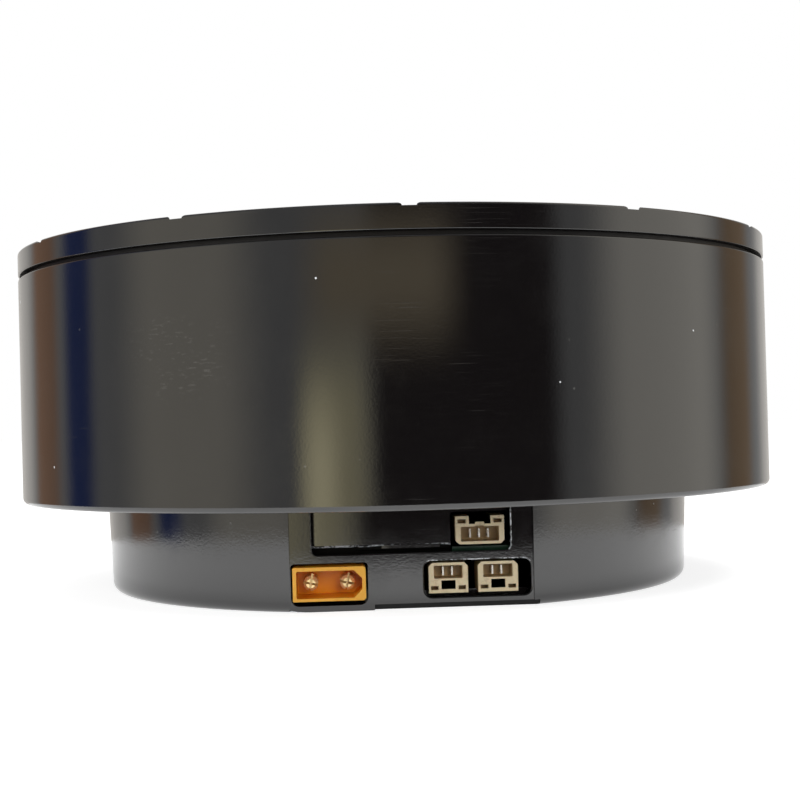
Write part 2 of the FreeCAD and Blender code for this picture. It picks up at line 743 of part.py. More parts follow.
sun_teeth_solid = gear_blank(sun_teeth, teeth_bottom - 0.3, teeth_height + 0.6, FIRST_PLANET)
shaft = Part.makeCylinder(value("Size.shaft_radius"), teeth_bottom - 0.3 - value(shaft_bottom),
                          Vector(0, 0, value(shaft_bottom)))
tip_length = value(front_bearing_top) - value("Size.shaft_end_gap") - teeth_bottom
tip = Part.makeCylinder(value("Size.front_bore"), tip_length, Vector(0, 0, teeth_bottom))
magnet_pocket = Part.makeCylinder(value("Size.encoder_magnet_radius"),
                                  value("Size.encoder_magnet_height - Size.encoder_magnet_proud"),
                                  Vector(0, 0, value(shaft_bottom)))
shaped("sun_gear_shaft", shaft.fuse([sun_teeth_solid, tip]).cut(magnet_pocket))
shaped("encoder_magnet", Part.makeCylinder(value("Size.encoder_magnet_radius"), value("Size.encoder_magnet_height"),
                                           Vector(0, 0, value(f"{shaft_bottom} - Size.encoder_magnet_proud"))))

planet_count = int(value("Size.planet_count"))
bush_outer = value("Size.pin_radius + Size.bush_gap + Size.bush_wall")
for index in range(planet_count):
    direction = FIRST_PLANET + index * 360 / planet_count
    centre = Vector(value(orbit_radius), 0, 0)
    centre = FreeCAD.Rotation(Z_AXIS, direction).multVec(centre)
    gear = gear_blank(planet_teeth, value(planet_bottom), value("Size.gear_width"), direction - 180 / planet_teeth)
    gear = gear.cut(Part.makeCylinder(bush_outer, value("Size.gear_width"), Vector(0, 0, value(planet_bottom))))
    bush = tube(bush_outer, value("Size.pin_radius + Size.bush_gap"), value(planet_bottom),
                value("Size.gear_width"))
    shaped(f"planet_gear_{index + 1}", gear, centre)
    shaped(f"planet_bush_{index + 1}", bush, centre)

# ---- planet carrier and output flange

carrier = turned("planet_carrier", [
    ("Size.carrier_bore", carrier_bottom),
    ("Size.carrier_radius", carrier_bottom),
    ("Size.carrier_radius", carrier_top),
    ("Size.carrier_bore", carrier_top),
])
pillar = primitive(carrier, "AdditiveCylinder", "pillar", on_circle("Size.pillar_circle", "-90", carrier_bottom),
                   Radius="Size.pillar_radius", Height=f"{plate_bottom} - {carrier_bottom}")
around(carrier, "pillars", [pillar], "Size.planet_count")
countersinks(carrier, "carrier_screw", "big", "Size.pillar_circle", "-90", "Size.planet_count",
             carrier_bottom, f"({plate_bottom} - {carrier_bottom})", down=False)
holes(carrier, "pin_seat", "Size.pin_radius", orbit_radius, "90", "Size.planet_count",
      carrier_bottom, "Size.carrier_thickness")
screws("carrier_screws", "big", f"({plate_bottom} - {carrier_bottom} + 6)", "Size.pillar_circle", "-90",
       "Size.planet_count", carrier_bottom, facing_up=False)

groove_bottom = f"({output_bearing_bottom} - Size.snap_ring_thickness)"
output_flange = turned("output_flange", [
    ("0", f"({front_bearing_top} + 0.3)"),
    ("(Size.front_outside - 2)", f"({front_bearing_top} + 0.3)"),
    ("(Size.front_outside - 2)", front_bearing_top),
    ("Size.front_outside", front_bearing_top),
    ("Size.front_outside", plate_bottom),
    ("Size.output_bore", plate_bottom),
    ("Size.output_bore", groove_bottom),
    ("(Size.output_bore - Size.snap_ring_depth)", groove_bottom),
    ("(Size.output_bore - Size.snap_ring_depth)", output_bearing_bottom),
    ("Size.output_bore", output_bearing_bottom),
    ("Size.output_bore", output_bearing_top),
    ("Size.output_radius", output_bearing_top),
    ("Size.output_radius", f"({output_face} - Size.output_edge)"),
    ("(Size.output_radius - Size.output_edge)", output_face),
    ("(Size.pilot_radius + Size.output_edge)", output_face),
    ("Size.pilot_radius", f"({output_face} - Size.output_edge)"),
    ("Size.pilot_radius", f"({output_face} - Size.pilot_depth)"),
    ("0", f"({output_face} - Size.pilot_depth)"),
])
holes(output_flange, "output_tap", "Size.big_tap", "Size.output_hole_circle", "0", "Size.output_hole_count",
      f"({output_face} - Size.output_hole_depth)", "Size.output_hole_depth")
holes(output_flange, "dowel", "Size.dowel_radius", "Size.output_hole_circle",
      "180 / Size.output_hole_count", "2", f"({output_face} - Size.dowel_depth)", "Size.dowel_depth")
holes(output_flange, "pin_end", "Size.pin_radius", orbit_radius, "90", "Size.planet_count",
      plate_bottom, "Size.pin_grip")
holes(output_flange, "carrier_tap", "Size.big_screw", "Size.pillar_circle", "-90", "Size.planet_count",
      plate_bottom, "7")
turned("output_snap_ring", [
    ("(Size.output_bore - Size.snap_ring_depth)", groove_bottom),
    ("(Size.output_bore + Size.snap_ring_height)", groove_bottom),
    ("(Size.output_bore + Size.snap_ring_height)", output_bearing_bottom),
    ("(Size.output_bore - Size.snap_ring_depth)", output_bearing_bottom),
])

pin = Part.makeCylinder(value("Size.pin_radius"), value(f"{plate_bottom} + Size.pin_grip - {carrier_bottom}"),
                        Vector(0, 0, value(carrier_bottom)))
shaped("planet_pins", ring_of(pin, value(orbit_radius), FIRST_PLANET, planet_count))
washers = []
for bottom in (carrier_top, f"({plate_bottom} - Size.washer_thickness)"):
    washer = tube(value("Size.washer_radius"), value("Size.pin_radius"), value(bottom),
                  value("Size.washer_thickness"))
    washers += ring_of(washer, value(orbit_radius), FIRST_PLANET, planet_count).Solids
shaped("thrust_washers", Part.makeCompound(washers))

# ---- stator

stator = turned("stator_core", [
    (f"({bore_radius} - Size.yoke_width)", stack_bottom),
    (bore_radius, stack_bottom),
    (bore_radius, stack_top),
    (f"({bore_radius} - Size.yoke_width)", stack_top),
])
shoe_back = "(Size.stator_bore + Size.shoe_depth)"
tooth_end = f"({bore_radius} - Size.yoke_width / 2)"
tooth = extruded(stator, "stator_tooth", "Pad", "XY_Plane", [
    ("Size.stator_bore", "-Size.shoe_width / 2"),
    (shoe_back, "-Size.shoe_width / 2"),
    (f"({shoe_back} + 0.5)", "-Size.tooth_width / 2"),
    (tooth_end, "-Size.tooth_width / 2"),
    (tooth_end, "Size.tooth_width / 2"),
    (f"({shoe_back} + 0.5)", "Size.tooth_width / 2"),
    (shoe_back, "Size.shoe_width / 2"),
    ("Size.stator_bore", "Size.shoe_width / 2"),
], stack_bottom, "Size.stack_length")
around(stator, "stator_teeth", [tooth], "Size.slot_count")

coil_length = value(f"{coil_outer} - Size.coil_inner")
tooth_room = value("Size.tooth_width + 2 * Size.coil_gap")
coil_width = tooth_room + 2 * value("Size.coil_thickness")
coil_bottom = value(f"{stack_bottom} - Size.coil_overhang")
coil = block(coil_length, coil_width, value("Size.stack_length + 2 * Size.coil_overhang"), coil_bottom)
tooth_space = block(coil_length, tooth_room, value("Size.stack_length + 2 * Size.coil_gap"),
                    value(f"{stack_bottom} - Size.coil_gap"))
shaped("stator_windings", ring_of(coil.cut(tooth_space), value(f"({coil_outer} + Size.coil_inner) / 2"),
                                  0, value("Size.slot_count")))

# ---- rotor

rotor = turned("rotor_hub", [
    ("Size.shaft_radius", f"({rear_bearing_bottom} - 0.5)"),
    ("Size.rear_bore", f"({rear_bearing_bottom} - 0.5)"),
    ("Size.rear_bore", floor_top),
    ("(Size.rear_bore + Size.hub_lip_width)", floor_top),
    ("(Size.rear_bore + Size.hub_lip_width)", disc_bottom),
    (magnet_inner, disc_bottom),
    (magnet_inner, f"({stack_top} + Size.rotor_overrun)"),
    (rotor_bore, f"({stack_top} + Size.rotor_overrun)"),
    (rotor_bore, disc_top),
    ("Size.shaft_radius", disc_top),
])
holes(rotor, "rotor_web", "Size.rotor_hole_radius", "Size.rotor_hole_circle", "0", "Size.rotor_hole_count",
      disc_bottom, "Size.disc_thickness")

magnet = tube(value(magnet_outer), value(magnet_inner), value(stack_bottom), value("Size.stack_length"))
magnet_room = Part.makeBox(value(magnet_outer), value("Size.magnet_width"), value("Size.stack_length"),
                           Vector(0, -value("Size.magnet_width") / 2, value(stack_bottom)))
shaped("rotor_magnets", ring_of(magnet.common(magnet_room), 0, 0, value("Size.pole_count")))

# ---- rear cover

rear_cover = turned("rear_cover", [
    ("0", "0"),
    (cover_radius_bottom, "0"),
    ("Size.cover_radius_top", ledge),
    ("(Size.cover_radius_top - Size.cover_wall)", ledge),
    ("(Size.cover_radius_top - Size.cover_wall)", "Size.cover_floor"),
    ("0", "Size.cover_floor"),
])
rounded(rear_cover, "rear_cover_edge", "Size.cover_edge",
        lambda edge: is_circle_at(edge, cover_radius_bottom, "0"))
wall_half = "(Size.recess_half_width + 2)"
primitive(rear_cover, "AdditiveBox", "recess_backing",
          (f"-{wall_half}", f"-{recess_flat} - 0.5", "Size.cover_floor / 2"),
          Length=f"2 * {wall_half}", Width="Size.recess_wall + 0.5",
          Height=f"{ledge} - Size.cover_floor / 2")
extruded(rear_cover, "recess", "Pocket", "XZ_Plane", [
    ("-Size.recess_half_width", "Size.power_surround_top"),
    ("Size.power_surround_right", "Size.power_surround_top"),
    ("Size.power_surround_right", "-1"),
    ("Size.recess_half_width", "-1"),
    ("Size.recess_half_width", f"({ledge} + 1)"),
    ("-Size.recess_half_width", f"({ledge} + 1)"),
], recess_flat, "10", reverse=True)
extruded(rear_cover, "power_surround_face", "Pocket", "XZ_Plane", [
    ("-Size.recess_half_width", "-1"),
    ("Size.power_surround_right", "-1"),
    ("Size.power_surround_right", "Size.power_surround_top"),
    ("-Size.recess_half_width", "Size.power_surround_top"),
], power_surround_front, "10", reverse=True)


def window(name, left, right, bottom, top, back, low_corner="0", high_corner="0"):
    """Window through the cover's front wall, from outside to a depth behind the flat."""
    depth = f"(Size.cover_radius_top + 1 - {back})"
    low, high = f"({bottom} + {low_corner})", f"({top} - {high_corner})"
    rows = [("middle", "0", low, high)]
    corners = []
    if low_corner != "0":
        rows.append(("low", low_corner, bottom, low))
        corners += [(low_corner, f"({left} + {low_corner})", low), (low_corner, f"({right} - {low_corner})", low)]
    if high_corner != "0":
        rows.append(("high", high_corner, high, top))
        corners += [(high_corner, f"({left} + {high_corner})", high), (high_corner, f"({right} - {high_corner})", high)]
    for row, inset, start, end in rows:
        primitive(rear_cover, "SubtractiveBox", f"{name}_{row}", (f"{left} + {inset}", f"-{back} - {depth}", start),
                  Length=f"{right} - {left} - 2 * {inset}", Width=depth, Height=f"{end} - {start}")
    for index, (radius, x, z) in enumerate(corners):
        primitive(rear_cover, "SubtractiveCylinder", f"{name}_corner_{index + 1}", (x, z, back), "XZ_Plane",
                  Radius=radius, Height=depth)
    doc.recompute()


window("upper_window", "-Size.upper_window_half_width", "Size.upper_window_half_width",
       "Size.upper_window_bottom", f"({ledge} + 1)", f"({recess_inside} - 0.1)")
window("power_window", "Size.power_window_left", "Size.power_window_right", "Size.power_window_bottom",
       "Size.power_window_top", f"({power_front} - Size.power_depth - 0.3)",
       "Size.window_corner", "Size.power_window_corner")
window("bus_window", "Size.bus_window_left", "Size.bus_window_right", "Size.bus_window_bottom",
       "Size.bus_window_top", f"({plug_front} - Size.plug_depth - 0.3)",
       "Size.window_corner", "Size.window_corner")
cover_boss = primitive(rear_cover, "AdditiveCylinder", "cover_boss", on_circle("Size.boss_circle", "0", "0.5"),
                       Radius="Size.boss_radius", Height=f"{ledge} - 0.5")
around(rear_cover, "cover_bosses", [cover_boss], "Size.boss_count")
countersinks(rear_cover, "rear_cover_screw", "cover", "Size.boss_circle", "0", "Size.boss_count",
             "0", ledge, down=False)
screws("rear_cover_screws", "cover", f"{ledge} + Size.floor_thickness - 0.6", "Size.boss_circle", "0",
       "Size.boss_count", "0", facing_up=False)

# ---- driver board and what is on it

board = turned("driver_board", [
    ("0", "Size.board_bottom"),
    (board_radius, "Size.board_bottom"),
    (board_radius, board_top),
    ("0", board_top),
])
primitive(board, "AdditiveBox", "board_tab", ("Size.board_tab_left", f"-{board_tab_front}", "Size.board_bottom"),
          Length="Size.board_tab_right - Size.board_tab_left", Width="6", Height="Size.board_thickness")
holes(board, "cover_boss_hole", "Size.boss_radius + 0.4", "Size.boss_circle", "0", "Size.boss_count",
      "Size.board_bottom", "Size.board_thickness")
holes(board, "board_screw_hole", "Size.small_screw + Size.hole_clearance", "Size.board_screw_circle", "90",
      "Size.board_screw_count", "Size.board_bottom", "Size.board_thickness")
screws("board_screws", "small", "5", "Size.board_screw_circle", "90", "Size.board_screw_count",
       "(Size.board_bottom - Size.small_head + Size.small_screw - 0.15)", facing_up=False)

on_board = value(board_top)
chip_height = value("Size.chip_height")
transistor = block(value("Size.transistor_width"), value("Size.transistor_length"), chip_height, on_board)
shaped("power_transistors", ring_of(transistor, value("Size.transistor_circle"), 30, value("Size.transistor_count")))
pad = block(value("Size.transistor_width"), value("Size.transistor_length"), value("Size.pad_height"),
            on_board + chip_height)
shaped("thermal_pads", ring_of(pad, value("Size.transistor_circle"), 30, value("Size.transistor_count")))
shaped("controller_chip", ring_of(block(8, 8, chip_height, on_board), 30.5, 205, 1))
shaped("gate_driver_chip", ring_of(block(7, 7, chip_height, on_board), 30.5, 335, 1))
shaped("encoder_chip", block(4, 5, 0.9, on_board))
shaped("shunt_resistors", ring_of(block(3.2, 6.3, 0.8, on_board), value("Size.shunt_circle"), 112, 3, 14))
capacitor = Part.makeCylinder(value("Size.capacitor_radius"), value("Size.capacitor_height"),
                              Vector(0, 0, value("Size.board_bottom - Size.capacitor_height")))
shaped("bus_capacitors", ring_of(capacitor, value("Size.capacitor_circle"), 30, 4, 40))

lead_height = value(f"{stack_bottom} - Size.coil_overhang + Size.lead_radius + 0.3")
lead_x, start_x, bend = (value(f"Size.lead_{name}") for name in ("circle", "start", "bend"))
corner = Vector(lead_x, 0, lead_height)
bend_middle = corner + Vector(bend, 0, -bend) + Vector(-bend, 0, bend) * math.sqrt(0.5)
path = Part.Wire([
    Part.makeLine(Vector(lead_x, 0, on_board), corner - Vector(0, 0, bend)),
    Part.Arc(corner - Vector(0, 0, bend), bend_middle, corner + Vector(bend, 0, 0)).toShape(),
    Part.makeLine(corner + Vector(bend, 0, 0), Vector(value("Size.coil_inner"), 0, lead_height)),
])
section = Part.Wire(Part.makeCircle(value("Size.lead_radius"), Vector(lead_x, 0, on_board), Z_AXIS))
lead = path.makePipeShell([section], True, True)
shaped("phase_leads", ring_of(lead, 0, value("Size.lead_angle"), value("Size.lead_count"), value("Size.lead_pitch")))


# ---- sockets

def board_socket(label, width, contacts, x, base, upright):
    """Small board socket that opens to -Y, with its contacts; upright ones have the latch on top."""
    half, corner = f"({width} / 2)", "Size.plug_corner"
    body = doc.addObject("PartDesign::Body", f"{label}_socket")
    latch = f"({width} / 2 - 1.9 * Size.plug_side)"
    shoulder = "(Size.plug_height * 0.55)"
    extruded(body, f"{label}_shell", "Pad", "XZ_Plane", [
        (f"({corner} - {half})", "0"),
        (f"({half} - {corner})", "0"),
        (half, corner),
        (half, "Size.plug_height"),
        (f"-{half}", "Size.plug_height"),
        (f"-{half}", corner),
    ], f"{plug_front} - Size.plug_depth", "Size.plug_depth")
    extruded(body, f"{label}_cavity", "Pocket", "XZ_Plane", [
        (f"(Size.plug_side - {half})", "Size.plug_wall"),
        (f"({half} - Size.plug_side)", "Size.plug_wall"),
        (f"({half} - Size.plug_side)", shoulder),
        (latch, shoulder),
        (latch, "(Size.plug_height - Size.plug_wall)"),
        (f"-{latch}", "(Size.plug_height - Size.plug_wall)"),
        (f"-{latch}", shoulder),
        (f"(Size.plug_side - {half})", shoulder),
    ], plug_front, "Size.plug_depth - Size.plug_side")
    body.setExpression("Placement.Base.x", x)
    body.setExpression("Placement.Base.z", base)
    if not upright:
        body.Placement.Rotation = FreeCAD.Rotation(Vector(0, 1, 0), 180)
    size = value("Size.contact_width")
    length = value("Size.plug_depth - Size.plug_side - Size.contact_recess")
    front = value(f"Size.contact_recess - {plug_front}")
    rise = value("Size.plug_height") * 0.33
    height = value(base) + (rise if upright else -rise)
    first = value(x) - value("Size.contact_pitch") * (contacts - 1) / 2
    bars = [Part.makeBox(size, length, size,
                         Vector(first + index * value("Size.contact_pitch") - size / 2, front, height - size / 2))
            for index in range(contacts)]
    shaped(f"{label}_contacts", Part.makeCompound(bars))


board_socket("sensor", "Size.plug_triple_width", 3, "Size.sensor_x", board_top, True)
bus_base = "(Size.board_bottom - Size.solder_gap)"
board_socket("bus_left", "Size.plug_pair_width", 2, "Size.bus_left_x", bus_base, False)
board_socket("bus_right", "Size.plug_pair_width", 2, "Size.bus_right_x", bus_base, False)

power = doc.addObject("PartDesign::Body", "power_socket")
power_half = "(Size.power_width / 2)"
extruded(power, "power_shell", "Pad", "XZ_Plane", [
    (f"-{power_half}", "0"),
    (power_half, "0"),
    (power_half, "Size.power_height"),
    (f"-{power_half}", "Size.power_height"),
], f"{power_front} - Size.power_depth", "Size.power_depth")
inside_half = f"({power_half} - Size.power_wall)"
inside_top = "(Size.power_height - Size.power_wall)"
extruded(power, "power_cavity", "Pocket", "XZ_Plane", [
    (f"-{inside_half}", "Size.power_wall"),
    (f"({inside_half} - Size.power_chamfer)", "Size.power_wall"),
    (inside_half, "(Size.power_wall + Size.power_chamfer)"),
    (inside_half, f"({inside_top} - Size.power_chamfer)"),
    (f"({inside_half} - Size.power_chamfer)", inside_top),
    (f"-{inside_half}", inside_top),
], power_front, "Size.power_depth - Size.power_floor")
power.setExpression("Placement.Base.x", "Size.power_x")
power.setExpression("Placement.Base.z", "Size.power_bottom")

pin_length = value("Size.power_depth - Size.pin_recess - Size.power_floor")
pin_radius = value("Size.power_pin_radius")
slit = value("Size.pin_slit")
power_pin = Part.makeCylinder(pin_radius, pin_length, Vector(0, -pin_length, 0), Vector(0, 1, 0))
for size in (Vector(slit, 0, 3 * pin_radius), Vector(3 * pin_radius, 0, slit)):
    cutter = Part.makeBox(size.x, pin_length / 2, size.z, Vector(-size.x / 2, -pin_length, -size.z / 2))
    power_pin = power_pin.cut(cutter)
pins = []
for side in (-1, 1):
    copy = power_pin.copy()
    copy.translate(Vector(value("Size.power_x") + side * value("Size.power_pitch") / 2,
                          value(f"Size.power_depth - {power_front} - Size.power_floor"),
                          value("Size.power_bottom + Size.power_height / 2")))
    pins.append(copy)
shaped("power_pins", Part.makeCompound(pins))

# ---- check and export

PIECES = [
    "housing", "board_skirt", "front_cover", "front_cover_screws", "bearing_retainer", "retainer_screws",
    "output_seal",
    "output_bearing_inner_ring", "output_bearing_outer_ring", "output_bearing_balls", "output_bearing_cage",
    "rear_bearing_inner_ring", "rear_bearing_outer_ring", "rear_bearing_balls", "rear_bearing_cage",
    "front_bearing_inner_ring", "front_bearing_outer_ring", "front_bearing_balls", "front_bearing_cage",
    "ring_gear", "ring_gear_screws", "sun_gear_shaft", "encoder_magnet",
    "planet_gear_1", "planet_gear_2", "planet_gear_3", "planet_bush_1", "planet_bush_2", "planet_bush_3",
    "planet_carrier", "carrier_screws", "output_flange", "output_snap_ring", "planet_pins", "thrust_washers",
    "stator_core", "stator_windings", "rotor_hub", "rotor_magnets",
    "rear_cover", "rear_cover_screws", "driver_board", "board_screws", "power_transistors", "thermal_pads",
    "controller_chip", "gate_driver_chip", "encoder_chip", "shunt_resistors", "bus_capacitors", "phase_leads",
    "sensor_socket", "sensor_contacts", "bus_left_socket", "bus_left_contacts", "bus_right_socket",
    "bus_right_contacts", "power_socket", "power_pins",
]

doc.recompute()
for item in doc.Objects:
    if "Invalid" in item.State or "Error" in item.State:
        raise RuntimeError(f"{item.Label} failed: {item.State}")
for label in PIECES:
    shape = doc.getObjectsByLabel(label)[0].Shape
    if shape.isNull() or not shape.isValid() or not shape.Solids:
        raise RuntimeError(f"{label} has no valid solid")
    shape.exportStep(f"parts/{label}.step")
    print(f"{label}: {len(shape.Solids)} solids, {shape.Volume / 1000:.3f} cm3")
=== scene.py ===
import math
import bpy
import bmesh
from mathutils import Matrix, Vector


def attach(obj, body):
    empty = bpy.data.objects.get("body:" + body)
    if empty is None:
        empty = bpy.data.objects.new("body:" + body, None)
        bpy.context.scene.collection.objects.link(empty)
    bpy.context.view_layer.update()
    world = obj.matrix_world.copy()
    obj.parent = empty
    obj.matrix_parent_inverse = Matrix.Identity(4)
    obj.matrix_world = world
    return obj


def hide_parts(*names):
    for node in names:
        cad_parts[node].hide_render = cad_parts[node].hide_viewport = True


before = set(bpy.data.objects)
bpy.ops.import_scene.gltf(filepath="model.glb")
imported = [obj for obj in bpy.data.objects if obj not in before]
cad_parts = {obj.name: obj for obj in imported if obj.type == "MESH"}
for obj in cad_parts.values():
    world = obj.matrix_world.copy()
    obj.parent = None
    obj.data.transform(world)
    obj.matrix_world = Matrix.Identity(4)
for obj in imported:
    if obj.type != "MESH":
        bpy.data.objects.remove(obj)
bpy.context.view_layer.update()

mm = 0.001
fullTurn = math.tau


# camera, placed before anything else

view = {
    "place": (-10.2, -243.5, 26.0),   # mm
    "lens": 66.1,
    "toRight": 0.0038,                # radians past the axis
    "upward": 0.013,
    "roll": 0.0269,
}


def placeCamera():
    data = bpy.data.cameras.new("camera")
    data.lens = view["lens"]
    data.sensor_width = 36.0
    data.clip_start = 0.01
    camera = bpy.data.objects.new("camera", data)
    bpy.context.scene.collection.objects.link(camera)
    x, y, z = view["place"]
    heading = math.atan2(-x, -y) + view["toRight"]
    pitch, roll = view["upward"], view["roll"]
    level = math.cos(pitch)
    ahead = Vector((math.sin(heading) * level, math.cos(heading) * level, math.sin(pitch)))
    right = ahead.cross(Vector((0, 0, 1))).normalized()
    up = right.cross(ahead)
    tiltedRight = right * math.cos(roll) - up * math.sin(roll)
    tiltedUp = up * math.cos(roll) + right * math.sin(roll)
    turn = Matrix((tiltedRight, tiltedUp, -ahead)).transposed()
    camera.matrix_world = Matrix.Translation(Vector((x, y, z)) * mm) @ turn.to_4x4()
    bpy.context.scene.camera = camera


placeCamera()
print("camera placed")


# arithmetic on node sockets

class Wire:
    def __init__(self, board, socket):
        self.board = board
        self.socket = socket

    def sum(self, operation, left, right=0.0):
        return self.board.put("ShaderNodeMath", {"operation": operation}, {0: left, 1: right})

    def __add__(self, other):
        return self.sum("ADD", self, other)

    def __radd__(self, other):
        return self.sum("ADD", other, self)

    def __sub__(self, other):
        return self.sum("SUBTRACT", self, other)

    def __rsub__(self, other):
        return self.sum("SUBTRACT", other, self)

    def __mul__(self, other):
        return self.sum("MULTIPLY", self, other)

    def __rmul__(self, other):
        return self.sum("MULTIPLY", other, self)

    def __truediv__(self, other):
        return self.sum("DIVIDE", self, other)

    def __rtruediv__(self, other):
        return self.sum("DIVIDE", other, self)

    def __gt__(self, other):
        return self.sum("GREATER_THAN", self, other)

    def __lt__(self, other):
        return self.sum("LESS_THAN", self, other)

    def __neg__(self):
        return self.sum("MULTIPLY", self, -1.0)

    def between(self, low, high):       # 0 at low, 1 at high, smooth
        return self.board.put("ShaderNodeMapRange", {"interpolation_type": "SMOOTHSTEP"},
                              {"Value": self, "From Min": low, "From Max": high})


class Board:
    def __init__(self, tree):
        self.tree = tree

    def put(self, kind, settings=None, inputs=None, output=0):
        node = self.tree.nodes.new(kind)
        for name, value in (settings or {}).items():
            setattr(node, name, value)
        for name, value in (inputs or {}).items():
            self.feed(node.inputs[name], value)
        return Wire(self, node.outputs[output]) if len(node.outputs) else None

    def feed(self, socket, value):
        if isinstance(value, Wire):
            self.tree.links.new(value.socket, socket)
        elif hasattr(value, "__len__"):
            opaque = len(value) == 3 and socket.type == "RGBA"
            socket.default_value = (*value, 1.0) if opaque else tuple(value)
        else:
            socket.default_value = value

    def shownBehind(self):                # 1 for what the camera, gloss or glass sees
        kinds = ("Is Camera Ray", "Is Glossy Ray", "Is Transmission Ray")
        camera, glossy, through = [self.put("ShaderNodeLightPath", output=kind) for kind in kinds]
        return camera + glossy + through


class Paint(Board):
    def __init__(self, name):
        self.material = bpy.data.materials.new(name)
        self.material.use_nodes = True
        super().__init__(self.material.node_tree)
        self.tree.nodes.clear()
        self.place = self.put("ShaderNodeTexCoord", output="Object")

    def stretched(self, scale, turn=(0, 0, 0), base=None):
        return self.put("ShaderNodeMapping", {},
                        {"Vector": base or self.place, "Scale": scale, "Rotation": turn})

    def noise(self, scale, detail=4.0, roughness=0.5, where=None):
        inputs = {"Vector": where or self.place, "Scale": scale, "Detail": detail, "Roughness": roughness}
        return self.put("ShaderNodeTexNoise", {}, inputs)

    def spots(self, scale):
        return self.put("ShaderNodeTexVoronoi", {"feature": "F1"}, {"Vector": self.place, "Scale": scale})

    def axes(self):
        return [self.put("ShaderNodeSeparateXYZ", {}, {0: self.place}, axis) for axis in "XYZ"]

    def around(self):           # angle in radians, 0 on the socket side, distance from the axis, height
        x, y, z = self.axes()
        angle = self.put("ShaderNodeMath", {"operation": "ARCTAN2"}, {0: x, 1: -y})
        radius = self.put("ShaderNodeMath", {"operation": "SQRT"}, {0: x * x + y * y})
        return angle, radius, z

    def shade(self, mask, dark, light):
        return self.put("ShaderNodeMix", {"data_type": "RGBA", "blend_type": "MIX"},
                        {0: mask, 6: dark, 7: light}, output=2)

    def bump(self, height, strength, distance, below=None):
        inputs = {"Height": height, "Strength": strength, "Distance": distance}
        if below:
            inputs["Normal"] = below
        return self.put("ShaderNodeBump", {}, inputs)

    def finish(self, **values):
        names = {"colour": "Base Color", "roughness": "Roughness", "metallic": "Metallic", "ior": "IOR",
                 "normal": "Normal", "subsurface": "Subsurface Weight",
                 "subsurfaceScale": "Subsurface Scale"}
        inputs = {names[key]: value for key, value in values.items()}
        shader = self.put("ShaderNodeBsdfPrincipled", {}, inputs)
        self.put("ShaderNodeOutputMaterial", {}, {"Surface": shader})
        return self.material


# finishes

lacquer = {
    "colour": (0.0016, 0.0015, 0.0017),
    "rubbed": (0.0050, 0.0047, 0.0046),
    "worn": (0.040, 0.038, 0.036),
    "roughness": 0.105,
    "ior": 1.8,
    "ripple": 0.10,           # height of the uneven coat
    "scratch": 0.5,
    "dust": 0.65,
    "peel": 0.75,             # fine orange peel
    "scuffs": (-0.70, -0.36, 28.0, 42.0),        # a rubbed patch of the wall: angles, heights
    "chips": ((-1.27, 45.4, 0.34), (-0.98, 20.5, 0.2), (0.71, 37.0, 0.16), (0.32, 30.2, 0.14),
              (-0.2, 44.0, 0.15)),        # angle, height, size
}


